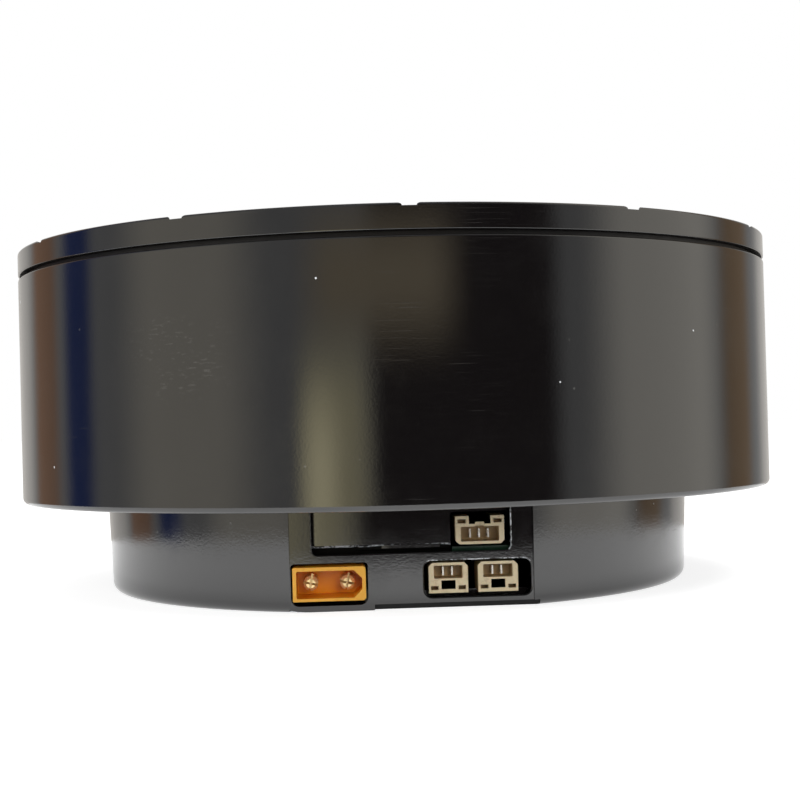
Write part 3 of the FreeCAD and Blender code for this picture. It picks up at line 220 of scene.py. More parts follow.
def blackLacquer(name):
    paint = Paint(name)
    angle, radius, z = paint.around()
    hoop = paint.put("ShaderNodeCombineXYZ", {}, {0: angle * 0.06, 1: radius, 2: z})
    fine = paint.noise(1.0, 3.0, 0.6, paint.stretched((220.0, 400.0, 9000.0), base=hoop))
    strokes = paint.noise(1.0, 2.0, 0.5, paint.stretched((90.0, 300.0, 5200.0), (0, 0, 0.02), base=hoop))
    patch = paint.noise(55.0, 3.0, 0.55)
    scratched = strokes.between(0.62, 0.74) * patch.between(0.50, 0.66)
    rubbed = paint.noise(38.0, 4.0, 0.6).between(0.55, 0.75)
    specks = 1.0 - paint.spots(420.0).between(0.03, 0.10)
    rare = paint.noise(260.0, 2.0).between(0.60, 0.72)
    dust = specks * rare
    left, right, low, high = lacquer["scuffs"]
    rubbedPatch = (angle.between(left, left + 0.12) * (1.0 - angle.between(right - 0.1, right))
                   * z.between(low * mm, (low + 3.5) * mm) * (1.0 - z.between((high - 3.0) * mm, high * mm)))
    combed = paint.stretched((700.0, 20.0, 3600.0), (0, 0.03, 0), base=hoop)
    hairs = paint.noise(1.0, 3.0, 0.6, combed).between(0.56, 0.70)
    scuffed = hairs * rubbedPatch * paint.noise(160.0, 2.0).between(0.38, 0.58)
    chipped = 0.0
    for chipAngle, chipHeight, size in lacquer["chips"]:
        across = (angle - chipAngle) * (60.0 / size)
        up = (z - chipHeight * mm) * (1.0 / (size * mm))
        ragged = paint.noise(4200.0, 2.0)
        chipped = (across * across + up * up + ragged * 1.6 < 1.5) * (radius > 0.058) + chipped
    peel = paint.noise(3100.0, 2.0, 0.5)
    ripple = paint.noise(420.0, 3.0, 0.55)
    pimples = 1.0 - paint.spots(900.0).between(0.0, 0.45)
    polished = fine.between(0.35, 0.75) * 0.35 + rubbed * 0.25
    colour = paint.shade(polished, lacquer["colour"], lacquer["rubbed"])
    colour = paint.shade(scratched * lacquer["scratch"], colour, lacquer["worn"])
    smudge = paint.noise(1.0, 4.0, 0.6, paint.stretched((160.0, 60.0, 95.0), base=hoop))
    colour = paint.shade(smudge.between(0.45, 0.7) * 0.5, colour, lacquer["rubbed"])
    colour = paint.shade(scuffed * 0.34, colour, (0.085, 0.082, 0.076))
    colour = paint.shade(dust * lacquer["dust"], colour, (0.22, 0.215, 0.20))
    colour = paint.shade(chipped, colour, (0.62, 0.64, 0.66))
    roughness = (lacquer["roughness"] + rubbed * 0.05 + scratched * 0.16 + scuffed * 0.12 + dust * 0.4
                 + chipped * 0.3 + (fine - 0.5) * 0.05 + smudge.between(0.48, 0.68) * 0.035
                 + (peel - 0.5) * 0.06)
    normal = paint.bump(ripple * 0.7 + pimples * 0.15, lacquer["ripple"], 0.00004)
    normal = paint.bump(peel, lacquer["peel"], 0.000009, normal)
    normal = paint.bump(fine, 0.12, 0.000012, normal)
    normal = paint.bump(1.0 - scratched, 0.25, 0.00001, normal)
    return paint.finish(colour=colour, roughness=roughness, ior=lacquer["ior"], normal=normal)


def groundMetal(name, colour, roughness, grain=1.0, dark=0.6, metallic=1.0):
    paint = Paint(name)
    angle, radius, z = paint.around()
    hoop = paint.put("ShaderNodeCombineXYZ", {}, {0: angle * 0.03, 1: radius, 2: z})
    lines = paint.noise(1.0, 3.0, 0.6, paint.stretched((160.0, 7000.0, 7000.0), base=hoop))
    cloud = paint.noise(120.0, 4.0, 0.6)
    slanted = paint.stretched((2600.0, 300.0, 900.0), (0.3, 0.2, 0.6))
    marks = paint.noise(1.0, 2.0, 0.5, slanted).between(0.64, 0.74)
    low = tuple(part * dark for part in colour)
    tone = paint.shade(cloud.between(0.3, 0.75) * 0.6 + lines.between(0.3, 0.7) * 0.4, colour, low)
    tone = paint.shade(marks * 0.4, tone, tuple(min(1.0, part * 1.35) for part in colour))
    rough = roughness + (cloud - 0.5) * 0.16 + (lines - 0.5) * 0.12 + marks * 0.1
    normal = paint.bump(lines, 0.22 * grain, 0.00001)
    normal = paint.bump(cloud, 0.12, 0.00004, normal)
    return paint.finish(colour=tone, roughness=rough, metallic=metallic, normal=normal)


def mouldedPlastic(name, colour, shadow, roughness, ior=1.5):
    paint = Paint(name)
    cloud = paint.noise(500.0, 4.0, 0.6)
    grain = paint.noise(5200.0, 3.0, 0.6)
    dirt = paint.noise(1500.0, 5.0, 0.7).between(0.56, 0.78)
    tone = paint.shade(cloud.between(0.3, 0.7) * 0.5, colour, tuple(part * 0.86 for part in colour))
    tone = paint.shade(dirt * 0.45, tone, shadow)
    normal = paint.bump(grain * 0.6 + cloud * 0.4, 0.25, 0.00003)
    return paint.finish(colour=tone, roughness=roughness + (cloud - 0.5) * 0.15 + dirt * 0.12, ior=ior,
                        normal=normal)


def socketNylon(name, colour, shadow, inside, face, roughness, depth):
    # behind its front face the moulding is coloured darker and deeper: painted shade inside the cavities,
    # partly also the deeper colour of the thicker nylon
    paint = Paint(name)
    x, y, z = paint.axes()
    cloud = paint.noise(500.0, 4.0, 0.6)
    grain = paint.noise(5200.0, 3.0, 0.6)
    dirt = paint.noise(1300.0, 5.0, 0.7).between(0.52, 0.76)
    deep = y.between(face * mm, (face + 1.1) * mm)
    tone = paint.shade(cloud.between(0.3, 0.7) * 0.5, colour, tuple(part * 0.86 for part in colour))
    tone = paint.shade(dirt * 0.5, tone, shadow)
    # painted shade: faces deeper than the front face take the darker inside colour
    tone = paint.shade(deep, tone, inside)
    normal = paint.bump(grain * 0.6 + cloud * 0.4, 0.25, 0.00003)
    return paint.finish(colour=tone, roughness=roughness + (cloud - 0.5) * 0.15 + dirt * 0.12, ior=1.5,
                        normal=normal, subsurface=depth, subsurfaceScale=0.0005)


def rubber(name, colour):
    paint = Paint(name)
    cloud = paint.noise(300.0, 4.0, 0.6)
    grain = paint.noise(4000.0, 3.0, 0.7)
    tone = paint.shade(cloud.between(0.35, 0.7), colour, tuple(part * 1.6 for part in colour))
    return paint.finish(colour=tone, roughness=0.62 + (grain - 0.5) * 0.3,
                        normal=paint.bump(grain, 0.35, 0.00005))


def copperWire(name):
    paint = Paint(name)
    angle, radius, z = paint.around()
    turns = paint.put("ShaderNodeMath", {"operation": "SINE"}, {0: (z * 9000.0) + (radius * 9000.0)})
    cloud = paint.noise(160.0, 4.0, 0.6)
    # painted shade: the base colour darkens in the creases between the wire turns
    tone = paint.shade(turns.between(-0.9, 0.6), (0.20, 0.07, 0.025), (0.74, 0.33, 0.14))
    tone = paint.shade(cloud.between(0.4, 0.7) * 0.4, tone, (0.55, 0.20, 0.07))
    return paint.finish(colour=tone, roughness=0.32 + (cloud - 0.5) * 0.2, metallic=0.85,
                        normal=paint.bump(turns, 0.5, 0.0001))


def circuitGreen(name):
    paint = Paint(name)
    weave = paint.put("ShaderNodeTexBrick", {"offset": 0.5},
                      {"Vector": paint.place, "Scale": 220.0, "Mortar Size": 0.04}, output="Fac")
    cloud = paint.noise(400.0, 3.0)
    tone = paint.shade(weave, (0.0012, 0.010, 0.005), (0.003, 0.022, 0.010))
    tone = paint.shade(cloud.between(0.4, 0.7) * 0.5, tone, (0.0008, 0.008, 0.004))
    return paint.finish(colour=tone, roughness=0.3 + (cloud - 0.5) * 0.2,
                        normal=paint.bump(weave, 0.3, 0.00003))


def laminations(name):
    paint = Paint(name)
    angle, radius, z = paint.around()
    sheets = paint.put("ShaderNodeMath", {"operation": "SINE"}, {0: z * (fullTurn / 0.00035)})
    cloud = paint.noise(220.0, 4.0, 0.6)
    tone = paint.shade(sheets.between(-1.0, 0.2), (0.06, 0.06, 0.065), (0.34, 0.34, 0.36))
    tone = paint.shade(cloud.between(0.45, 0.75) * 0.5, tone, (0.22, 0.19, 0.17))
    return paint.finish(colour=tone, roughness=0.42 + (cloud - 0.5) * 0.2, metallic=0.9,
                        normal=paint.bump(sheets, 0.4, 0.00008))


def wornEdgeAndGlint(name):
    paint = Paint(name)
    chips = paint.noise(2600.0, 4.0, 0.7)
    long = paint.noise(1.0, 3.0, 0.6, paint.stretched((330.0, 700.0, 520.0)))
    bareMetalAndGlint = (chips * 0.55 + long * 0.45).between(0.46, 0.54)
    # worn through to the metal, coloured a bright bluish white that is partly a painted glint of light on
    # the edge
    tone = paint.shade(bareMetalAndGlint, (0.004, 0.004, 0.005), (0.86, 0.90, 0.95))
    return paint.finish(colour=tone, roughness=0.3 + bareMetalAndGlint * 0.15, metallic=bareMetalAndGlint * 0.35, ior=1.6,
                        normal=paint.bump(chips, 0.5, 0.00005))


finishes = {
    "black_finish": blackLacquer("blackLacquer"),
    "worn_edge": wornEdgeAndGlint("wornEdgeAndGlint"),
    "output_finish": groundMetal("satinBlackAnodised", (0.030, 0.031, 0.034), 0.36, 1.4, 0.55, 0.6),
    "screw_black": groundMetal("blackOxideScrews", (0.075, 0.075, 0.08), 0.34, 0.8, 0.6, 0.85),
    "steel": groundMetal("groundSteel", (0.60, 0.60, 0.61), 0.26),
    "hardened_steel": groundMetal("oiledGearSteel", (0.42, 0.42, 0.44), 0.32),
    "lamination_steel": laminations("coreSheets"),
    "copper_wire": copperWire("enamelledCopper"),
    "magnet_nickel": groundMetal("nickelPlate", (0.70, 0.69, 0.66), 0.18, 0.3, 0.85),
    "bronze": groundMetal("sinteredBronze", (0.62, 0.43, 0.22), 0.45, 0.6, 0.6),
    "seal_rubber": rubber("sealRubber", (0.022, 0.022, 0.023)),
    "pad_rubber": rubber("padRubber", (0.40, 0.45, 0.55)),
    "board_green": circuitGreen("solderMask"),
    "chip_black": mouldedPlastic("chipEpoxy", (0.028, 0.028, 0.030), (0.06, 0.06, 0.06), 0.55),
    "capacitor_can": groundMetal("drawnCan", (0.75, 0.75, 0.75), 0.28),
    "lead_sleeve": rubber("leadSleeve", (0.42, 0.025, 0.022)),
    # painted shade: a matte near-black for the neck of the seam between the front cover and the housing
    "seam_dark": mouldedPlastic("seamPaintedShade", (0.016, 0.015, 0.015), (0.026, 0.025, 0.024), 0.5, ior=1.4),
    # painted shade: a matte near-black put on faces under edges and inside openings where shade falls
    "gap_black": mouldedPlastic("paintedShadeBlack", (0.0015, 0.0015, 0.0015), (0.004, 0.004, 0.004), 0.6, ior=1.2),
    # the third colour of each socket finish is the painted shade inside its cavities
    "socket_cream": socketNylon("creamNylon", (0.70, 0.58, 0.38), (0.34, 0.24, 0.13), (0.43, 0.29, 0.14),
                                -41.9, 0.42, 0.1),
    "socket_amber": socketNylon("amberNylon", (0.80, 0.40, 0.045), (0.55, 0.23, 0.02), (0.86, 0.30, 0.004),
                                -44.1, 0.34, 0.15),
    "contact_gold": groundMetal("goldPlate", (1.0, 0.76, 0.40), 0.28, 0.5, 0.7, 0.65),
    "contact_tin": groundMetal("tinnedContacts", (0.93, 0.91, 0.85), 0.24, 0.4, 0.85, 0.5),
}
print("finishes made:", len(finishes))


# solids of turned, pushed and cut shapes

def asObject(name, mesh):
    made = bpy.data.objects.new(name, mesh)
    bpy.context.scene.collection.objects.link(made)
    return made


def fromBmesh(name, work):
    bmesh.ops.remove_doubles(work, verts=work.verts, dist=1e-7)
    bmesh.ops.recalc_face_normals(work, faces=work.faces)
    mesh = bpy.data.meshes.new(name)
    work.to_mesh(mesh)
    work.free()
    return asObject(name, mesh)


def softened(corners, closed=True, steps=5, guard=0.04):
    # corners are (x, y, round); each rounded one becomes an arc with a guard point at either side
    points = []
    count = len(corners)
    for index, corner in enumerate(corners):
        here = Vector(corner[:2])
        radius = corner[2] if len(corner) > 2 else 0.0
        end = not closed and index in (0, count - 1)
        if radius <= 0 or end:
            points.append(here)
            continue
        before = (Vector(corners[index - 1][:2]) - here).normalized()
        after = (Vector(corners[(index + 1) % count][:2]) - here).normalized()
        half = math.acos(max(-1.0, min(1.0, before.dot(after)))) / 2
        reach = radius / math.tan(half)
        centre = here + (before + after).normalized() * (radius / math.sin(half))
        first, last = here + before * reach, here + after * reach
        points.append(first + before * guard)
        start = math.atan2(*(first - centre).yx)
        sweep = math.atan2(*(last - centre).yx) - start
        sweep = (sweep + math.pi) % fullTurn - math.pi
        for step in range(steps + 1):
            angle = start + sweep * step / steps
            points.append(centre + Vector((math.cos(angle), math.sin(angle))) * radius)
        points.append(last + after * guard)
    return points


def turned(name, corners, segments=384, at=(0, 0), steps=5):
    # corners are (radius, height, round) in mm, round the Z axis
    closed = not (corners[0][0] == 0 and corners[-1][0] == 0)
    outline = softened(corners, closed, steps)
    work = bmesh.new()
    rings = []
    for radius, height in outline:
        if radius < 1e-6:
            rings.append([work.verts.new((at[0] * mm, at[1] * mm, height * mm))])
            continue
        ring = []
        for index in range(segments):
            angle = fullTurn * index / segments
            ring.append(work.verts.new(((at[0] + radius * math.cos(angle)) * mm,
                                        (at[1] + radius * math.sin(angle)) * mm, height * mm)))
        rings.append(ring)
    pairs = list(zip(rings, rings[1:])) + ([(rings[-1], rings[0])] if closed else [])
    for low, high in pairs:
        for index in range(segments):
            step = (index + 1) % segments
            if len(low) == 1 and len(high) == 1:
                continue
            if len(low) == 1:
                work.faces.new((low[0], high[step], high[index]))
            elif len(high) == 1:
                work.faces.new((low[index], low[step], high[0]))
            else:
                work.faces.new((low[index], low[step], high[step], high[index]))
    return fromBmesh(name, work)


def pushed(name, outline, front, back, axis="Y"):
    # a flat outline of (across, up) pushed along an axis between two heights, in mm
    work = bmesh.new()

    def spot(across, up, along):
        place = {"Y": (across, along, up), "Z": (across, up, along), "X": (along, across, up)}[axis]
        return work.verts.new(Vector(place) * mm)

    near = [spot(a, b, front) for a, b in outline]
    far = [spot(a, b, back) for a, b in outline]
    work.faces.new(near)
    work.faces.new(list(reversed(far)))
    for index in range(len(near)):
        step = (index + 1) % len(near)
        work.faces.new((near[index], far[index], far[step], near[step]))
    return fromBmesh(name, work)


def rectangle(left, right, low, high, rounds=(0, 0, 0, 0), steps=5):
    # rounds go from the lower left corner, counter-clockwise
    corners = [(left, low), (right, low), (right, high), (left, high)]
    rounded = [(*corner, amount) for corner, amount in zip(corners, rounds)]
    return [tuple(point) for point in softened(rounded, True, steps, 0.0)]


def clipped(left, right, low, high, cuts=(0, 0, 0, 0)):
    # the same with straight cut corners
    a, b, c, d = cuts
    points = [(left + a, low), (right - b, low), (right, low + b), (right, high - c),
              (right - c, high), (left + d, high), (left, high - d), (left, low + a)]
    return [point for index, point in enumerate(points) if point != points[index - 1]]


def joined(name, parts):
    work = bmesh.new()
    for part in parts:
        work.from_mesh(part.data)
    mesh = bpy.data.meshes.new(name)
    work.to_mesh(mesh)
    work.free()
    drop(*parts)
    return asObject(name, mesh)


def drop(*objects):
    for item in objects:
        mesh = item.data
        bpy.data.objects.remove(item)
        bpy.data.meshes.remove(mesh)


def cut(piece, *tools, way="DIFFERENCE"):
    for tool in tools:
        step = piece.modifiers.new("cut", "BOOLEAN")
        step.operation = way
        step.solver = "EXACT"
        step.object = tool
        freeze(piece)
        drop(tool)
    return piece


def freeze(piece):
    seen = piece.evaluated_get(bpy.context.evaluated_depsgraph_get())
    mesh = bpy.data.meshes.new_from_object(seen)
    old = piece.data
    piece.modifiers.clear()
    piece.data = mesh
    bpy.data.meshes.remove(old)


def settle(piece, finish, body="housing", stands=(), sharp=32.0):
    mesh = piece.data
    work = bmesh.new()
    work.from_mesh(mesh)
    bmesh.ops.remove_doubles(work, verts=work.verts, dist=2e-7)
    bmesh.ops.dissolve_degenerate(work, edges=work.edges, dist=1e-7)
    limit = math.radians(sharp)
    for face in work.faces:
        face.smooth = True
    for edge in work.edges:
        edge.smooth = len(edge.link_faces) == 2 and edge.calc_face_angle(0.0) < limit
    work.to_mesh(mesh)
    work.free()
    weights = piece.modifiers.new("weights", "WEIGHTED_NORMAL")
    weights.keep_sharp = True
    freeze(piece)
    piece.data.materials.clear()
    piece.data.materials.append(finishes[finish])
    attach(piece, body)
    if stands:
        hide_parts(*stands)
    return piece


def repaint(piece, finish, wanted):
    piece.data.materials.append(finishes[finish])
    index = len(piece.data.materials) - 1
    for face in piece.data.polygons:
        if wanted(face):
            face.material_index = index


def ringed(count, radius, start, build):
    # copies of a cutter round the axis, joined in one object
    parts = []
    for index in range(count):
        angle = math.radians(start) + fullTurn * index / count
        parts.append(build((radius * math.cos(angle), radius * math.sin(angle))))
    return joined("cutters", parts)


# housing

housing = {
    "radius": 60.0, "bottom": 14.7, "ledge": 14.46, "ledgeFrom": 48.0, "top": 49.08,
    "edge": 0.8, "topEdge": 0.22,
    "bore": 55.0, "boreFrom": 23.0, "shoulder": 50.5, "floor": 17.7,
    "skirtSeat": (39.0, 41.0, 15.3), "groove": (47.2, 47.7, 15.0),
    "heatRing": (18.0, 24.3, 10.2), "hub": (11.9, 16.0, 11.7), "pocket": (13.0, 12.7),
}


def makeHousing():
    h = housing
    seatIn, seatOut, seatTop = h["skirtSeat"]
    grooveIn, grooveOut, grooveTop = h["groove"]
    heatIn, heatOut, heatLow = h["heatRing"]
    hubIn, hubOut, hubLow = h["hub"]
    pocket, pocketLow = h["pocket"]
    low, floor = h["bottom"], h["floor"]
    shell = turned("housingShell", [
        (h["radius"], h["ledge"], h["edge"]), (h["radius"], h["top"], h["topEdge"]),
        (h["bore"], h["top"], 0.2), (h["bore"], h["boreFrom"]), (h["shoulder"], h["boreFrom"]),
        (h["shoulder"], floor), (pocket, floor), (pocket, pocketLow), (hubIn, pocketLow),
        (hubIn, hubLow, 0.2), (hubOut, hubLow, 0.3), (hubOut, low), (heatIn, low),
        (heatIn, heatLow, 0.2), (heatOut, heatLow, 0.2), (heatOut, low),
        (seatIn, low), (seatIn, seatTop), (seatOut, seatTop), (seatOut, low),
        (grooveIn, low, 0.08), (grooveIn, grooveTop), (grooveOut, grooveTop), (grooveOut, low, 0.08),
        (h["ledgeFrom"], low), (h["ledgeFrom"], h["ledge"])], 384)
    boss = [(0, 8.2), (2.8, 8.2, 0.25), (2.8, 15.2), (0, 15.2)]
    mountHole = [(0, 13.0), (2.0, 13.0), (2.0, 14.7), (1.65, 15.05), (1.65, 22.2), (0, 22.9)]
    bossHole = [(0, 8.0), (1.25, 8.0), (1.25, 14.0), (0, 14.4)]
    cut(shell, ringed(5, 36.0, 90.0, lambda at: turned("boss", boss, 48, at)), way="UNION")
    cut(shell, ringed(8, 54.5, 22.5, lambda at: turned("tap", mountHole, 40, at)))
    cut(shell, ringed(5, 36.0, 90.0, lambda at: turned("tap", bossHole, 32, at)))
    settle(shell, "black_finish", "housing", ["housing"])


makeHousing()
print("housing shell made")


# skirt round the board, seen through the upper window

boardSkirt = {
    "inside": 39.0, "outside": 41.0, "low": 7.9, "seat": 15.3, "notch": (5.5, 13.7, 13.0),
    "front": -41.0, "arc": 159.0, "half": 15.0, "plateLow": 8.5, "worn": 0.28,   # flatter behind the window
    "setBack": 0.6, "bandLow": 7.2,
}


def makeBoardSkirt():
    b = boardSkirt
    skirt = turned("boardSkirt", [(b["inside"], b["low"], 0.2), (b["outside"], b["low"], 0.3),
                                  (b["outside"], b["seat"]), (b["inside"], b["seat"])], 384)
    half, low, worn = b["half"], b["plateLow"], b["worn"]
    steps = [half - 2 * half * index / 60 for index in range(61)]
    work = bmesh.new()
    loops = []
    levels = ((b["setBack"], b["bandLow"]), (b["setBack"], low), (worn, low), (0.0, low + worn), (0.0, 14.7))
    for back, height in levels:
        points = [(-half, -36.0), (half, -36.0)]
        points += [(x, b["front"] + back + x * x / (2 * b["arc"])) for x in steps]
        loops.append([work.verts.new(Vector((x, y, height)) * mm) for x, y in points])
    work.faces.new(loops[0])
    work.faces.new(list(reversed(loops[-1])))
    for near, far in zip(loops, loops[1:]):
        for index in range(len(near)):
            step = (index + 1) % len(near)
            work.faces.new((near[index], near[step], far[step], far[index]))
    plate = fromBmesh("skirtFront", work)
    cut(plate, turned("inside", [(0, 5), (b["inside"] + 0.3, 5), (b["inside"] + 0.3, 18), (0, 18)], 384))
    cut(skirt, plate, way="UNION")
    left, right, top = b["notch"]
    cut(skirt, pushed("notch", rectangle(left, right, b["low"] - 1, top, (0, 0, 0.5, 0.5)), -30.0, -45.0))
    settle(skirt, "black_finish", "housing", ["board_skirt"])
    behind = -36.5 * mm
    # the chamfer along the plate's lower front edge is worn through to the metal, its bright bluish white
    # partly a painted glint
    repaint(skirt, "worn_edge", lambda face: face.center.y < behind and -0.85 < face.normal.z < -0.5
            and low * mm < face.center.z < (low + worn) * mm)
    # painted shade: the set-back band and underside below the plate's front are painted near-black for the
    # shade under the skirt
    repaint(skirt, "gap_black", lambda face: face.center.y < behind and face.center.z < (low + 0.01) * mm)


makeBoardSkirt()
print("board skirt made")


# front cover with its eased rim and screw seats

frontCover = {
    "rim": 60.0, "rimLow": 49.78, "top": 53.2, "ease": 0.32, "lowEase": 0.2,
    "neck": 58.7, "neckLow": 49.08, "spigot": (52.0, 54.97, 46.4),
    "sleeve": (36.0, 41.5, 40.2), "lip": (34.0, 41.7),
    "recess": (41.0, 50.7), "under": 49.4,
    "screws": 12, "circle": 57.15, "start": -90.0, "seat": 3.0, "seatDepth": 0.4,
}


def makeFrontCover():
    c = frontCover
    spigotIn, spigotOut, spigotLow = c["spigot"]
    sleeveIn, sleeveOut, sleeveLow = c["sleeve"]
    lipIn, lipTop = c["lip"]
    recess, recessLow = c["recess"]
    cover = turned("frontCover", [
        (c["rim"], c["rimLow"], c["lowEase"]), (c["rim"], c["top"], c["ease"]), (recess, c["top"], 0.12),
        (recess, recessLow), (sleeveIn, recessLow), (sleeveIn, lipTop), (lipIn, lipTop),
        (lipIn, sleeveLow), (sleeveOut, sleeveLow), (sleeveOut, c["under"]), (spigotIn, c["under"]),
        (spigotIn, spigotLow, 0.2), (spigotOut, spigotLow, 0.2), (spigotOut, c["neckLow"]),
        (c["neck"], c["neckLow"]), (c["neck"], c["rimLow"])], 480)
    top, deep = c["top"], c["top"] - c["seatDepth"]
    cut(cover, ringed(c["screws"], c["circle"], c["start"], lambda at: turned("seat", [
        (0, top - 3.4), (1.6, top - 3.4), (1.6, deep - 1.15), (2.8, deep), (c["seat"], deep),
        (c["seat"], top), (c["seat"], top + 1), (0, top + 1)], 56, at)))
    settle(cover, "black_finish", "housing", ["front_cover"])
    # painted shade: the neck between the rim and the housing is painted a matte near-black for the shade in
    # the seam
    repaint(cover, "seam_dark", lambda face: Vector(face.center[:2]).length < (c["rim"] - 0.4) * mm
            and c["neckLow"] * mm - 1e-6 < face.center.z < c["rimLow"] * mm + 1e-6)


makeFrontCover()
print("front cover made")


# rear cover with the milled socket recess

rearCover = {
    "low": 46.35, "high": 46.9, "top": 14.7, "edge": 1.5, "wall": 2.7, "floor": 2.0,
    "recess": 16.7, "flat": -42.7, "wallBack": -41.2, "corner": 0.35,
    "surround": (-16.7, -5.2, 7.0, -44.9), "surroundEdge": 0.28,
    "upper": (-13.65, 13.65, 7.7),
    "power": (-16.6, -6.05, 0.8, 6.6, (1.1, 1.1, 0.5, 0.5)),
    "bus": (1.6, 16.4, 1.5, 6.5, 1.1),
    "ease": 0.16,             # chamfer round each window; some of its faces are worn through to the metal and carry a painted glint
    "bottomEase": ((-5.2, 17.5, -42.7, 1.1, 0.8),      # from, to, face, depth, height
                   (-18.0, -5.1, -44.9, 0.9, 0.5)),
    "screws": 4, "circle": 28.0, "start": 0.0, "head": 2.75,
}


def windowTool(name, left, right, low, high, rounds, face, back):
    # a straight window whose mouth widens in its last tenths of a millimetre
    ease = rearCover["ease"]
    inner = rectangle(left, right, low, high, rounds)
    wider = tuple(r + ease if r else 0 for r in rounds)
    outer = rectangle(left - ease, right + ease, low - ease, high + ease, wider)
    work = bmesh.new()
    loops = []
    for points, along in ((inner, back), (inner, face + ease), (outer, face), (outer, face - 8.0)):
        loops.append([work.verts.new(Vector((x, along, z)) * mm) for x, z in points])
    work.faces.new(loops[0])
    work.faces.new(list(reversed(loops[-1])))
    for near, far in zip(loops, loops[1:]):
        for index in range(len(near)):
            step = (index + 1) % len(near)
            work.faces.new((near[index], near[step], far[step], far[index]))
    return fromBmesh(name, work)


def makeRearCover():
    r = rearCover
    wall = r["wall"]
    outer = [(0, 0), (r["low"], 0, r["edge"]), (r["high"], r["top"], 0.1), (0, r["top"])]
    cover = turned("rearCover", outer, 384, steps=8)
    left, right, top, front = r["surround"]
    edge, corner = r["recess"], r["corner"]
    # the recess runs out through the bottom; its upper corners stay square under the ledge
    cut(cover, pushed("slab", rectangle(-edge, edge, -1, 20), -60.0, r["flat"]))
    block = rectangle(left - 3.0, right, -1.0, top, (0, 0, r["surroundEdge"], 0))
    surround = pushed("surround", block, front, r["flat"] + 0.6)
    work = bmesh.new()
    work.from_mesh(surround.data)
    faceEdges = [e for e in work.edges if all(v.co.y < front * mm + 1e-6 for v in e.verts)]
    bmesh.ops.bevel(work, geom=faceEdges, offset=r["surroundEdge"] * mm, segments=3, profile=0.5,
                    affect="EDGES")
    work.to_mesh(surround.data)
    work.free()
    cut(surround, turned("round", outer, 384, steps=8), way="INTERSECT")
    cut(cover, surround, way="UNION")
    for start, stop, ahead, deep, high in r["bottomEase"]:
        before, after = ahead - 1, ahead + deep
        wedge = [(before, -0.5), (after, -0.5), (after, 0), (ahead, high), (before, high)]
        cut(cover, pushed("ease", wedge, start, stop, "X"))
    hollow = turned("hollow", [(0, r["floor"]), (r["low"] - wall, r["floor"], 0.8),
                               (r["high"] - wall, r["top"] + 1), (0, r["top"] + 1)], 384)
    cut(hollow, pushed("flat", rectangle(-edge - 3.0, edge + 3.0, -5, 20), -60.0, r["wallBack"]))
    cut(cover, hollow)
    left, right, low = r["upper"]
    cut(cover, windowTool("upper", left, right, low, 20, (0.8, 0.8, 0, 0), r["flat"], -38.0))
    left, right, low, high, rounds = r["power"]
    cut(cover, windowTool("power", left, right, low, high, rounds, front, -30.0))
    left, right, low, high, round_ = r["bus"]
    cut(cover, windowTool("bus", left, right, low, high, (round_,) * 4, r["flat"], -38.0))
    seat = [(0, -1), (r["head"] + 0.1, -1), (r["head"] + 0.1, 0), (1.6, 1.3), (1.6, 3), (0, 3)]
    cut(cover, ringed(r["screws"], r["circle"], r["start"], lambda at: turned("seat", seat, 48, at)))
    settle(cover, "black_finish", "housing", ["rear_cover"])
    # painted shade: the bottom chamfers of the recess are painted matte near-black for the shade along the
    # bottom edge
    repaint(cover, "gap_black", lambda face: face.center.y < -41.4 * mm and face.center.z < 0.82 * mm
            and -0.95 < face.normal.z < -0.3 and abs(face.center.x) < edge * mm)
    repaint(cover, "worn_edge", isWornAndGlinting)


def isWornAndGlinting(face):
    # some of the narrow slanted faces round the windows are worn through to the metal and carry a painted
    # glint where light catches those edges
    x, y, z = (part / mm for part in face.center)
    slanted = 0.25 < -face.normal.y < 0.97
    nearFront = -45.0 < y < rearCover["flat"] + 0.3 and abs(x) < rearCover["recess"] - 0.2
    sills = 6.2 < z < 6.95 or (x > 13.4 and z > 7.5)
    surround = (x < -4.9 and z < 0.8) or (-6.0 < x < -4.9 and z < 7.1)
    return slanted and nearFront and (sills or surround) and face.area < 20.0 * mm * mm


makeRearCover()
print("rear cover made")


# signal sockets

signalSockets = {
    "bus_left_socket": {
        "middle": 5.0, "low": 1.98, "width": 5.4, "height": 4.15, "way": 1, "contacts": 2},
    "bus_right_socket": {
        "middle": 11.86, "low": 1.98, "width": 5.5, "height": 4.15, "way": 1, "contacts": 2},
    "sensor_socket": {
        "middle": 9.52, "low": 8.56, "width": 6.72, "height": 3.86, "way": -1, "contacts": 3},
}
socketShape = {
    "front": -42.0, "depth": 5.6, "corner": 0.5,
    "side": 0.72, "roof": 0.38, "shelf": 1.98, "lowShelf": 1.45, "cavityDepth": 3.6,
    "latch": 0.97, "latchLow": 0.52, "latchHigh": 1.72, "foot": (0.42, 0.98), "tongue": 0.62,
}
contactShape = {"pitch": 1.25, "width": 0.22, "high": 1.2, "front": -40.6, "back": -37.6, "tip": 0.07}


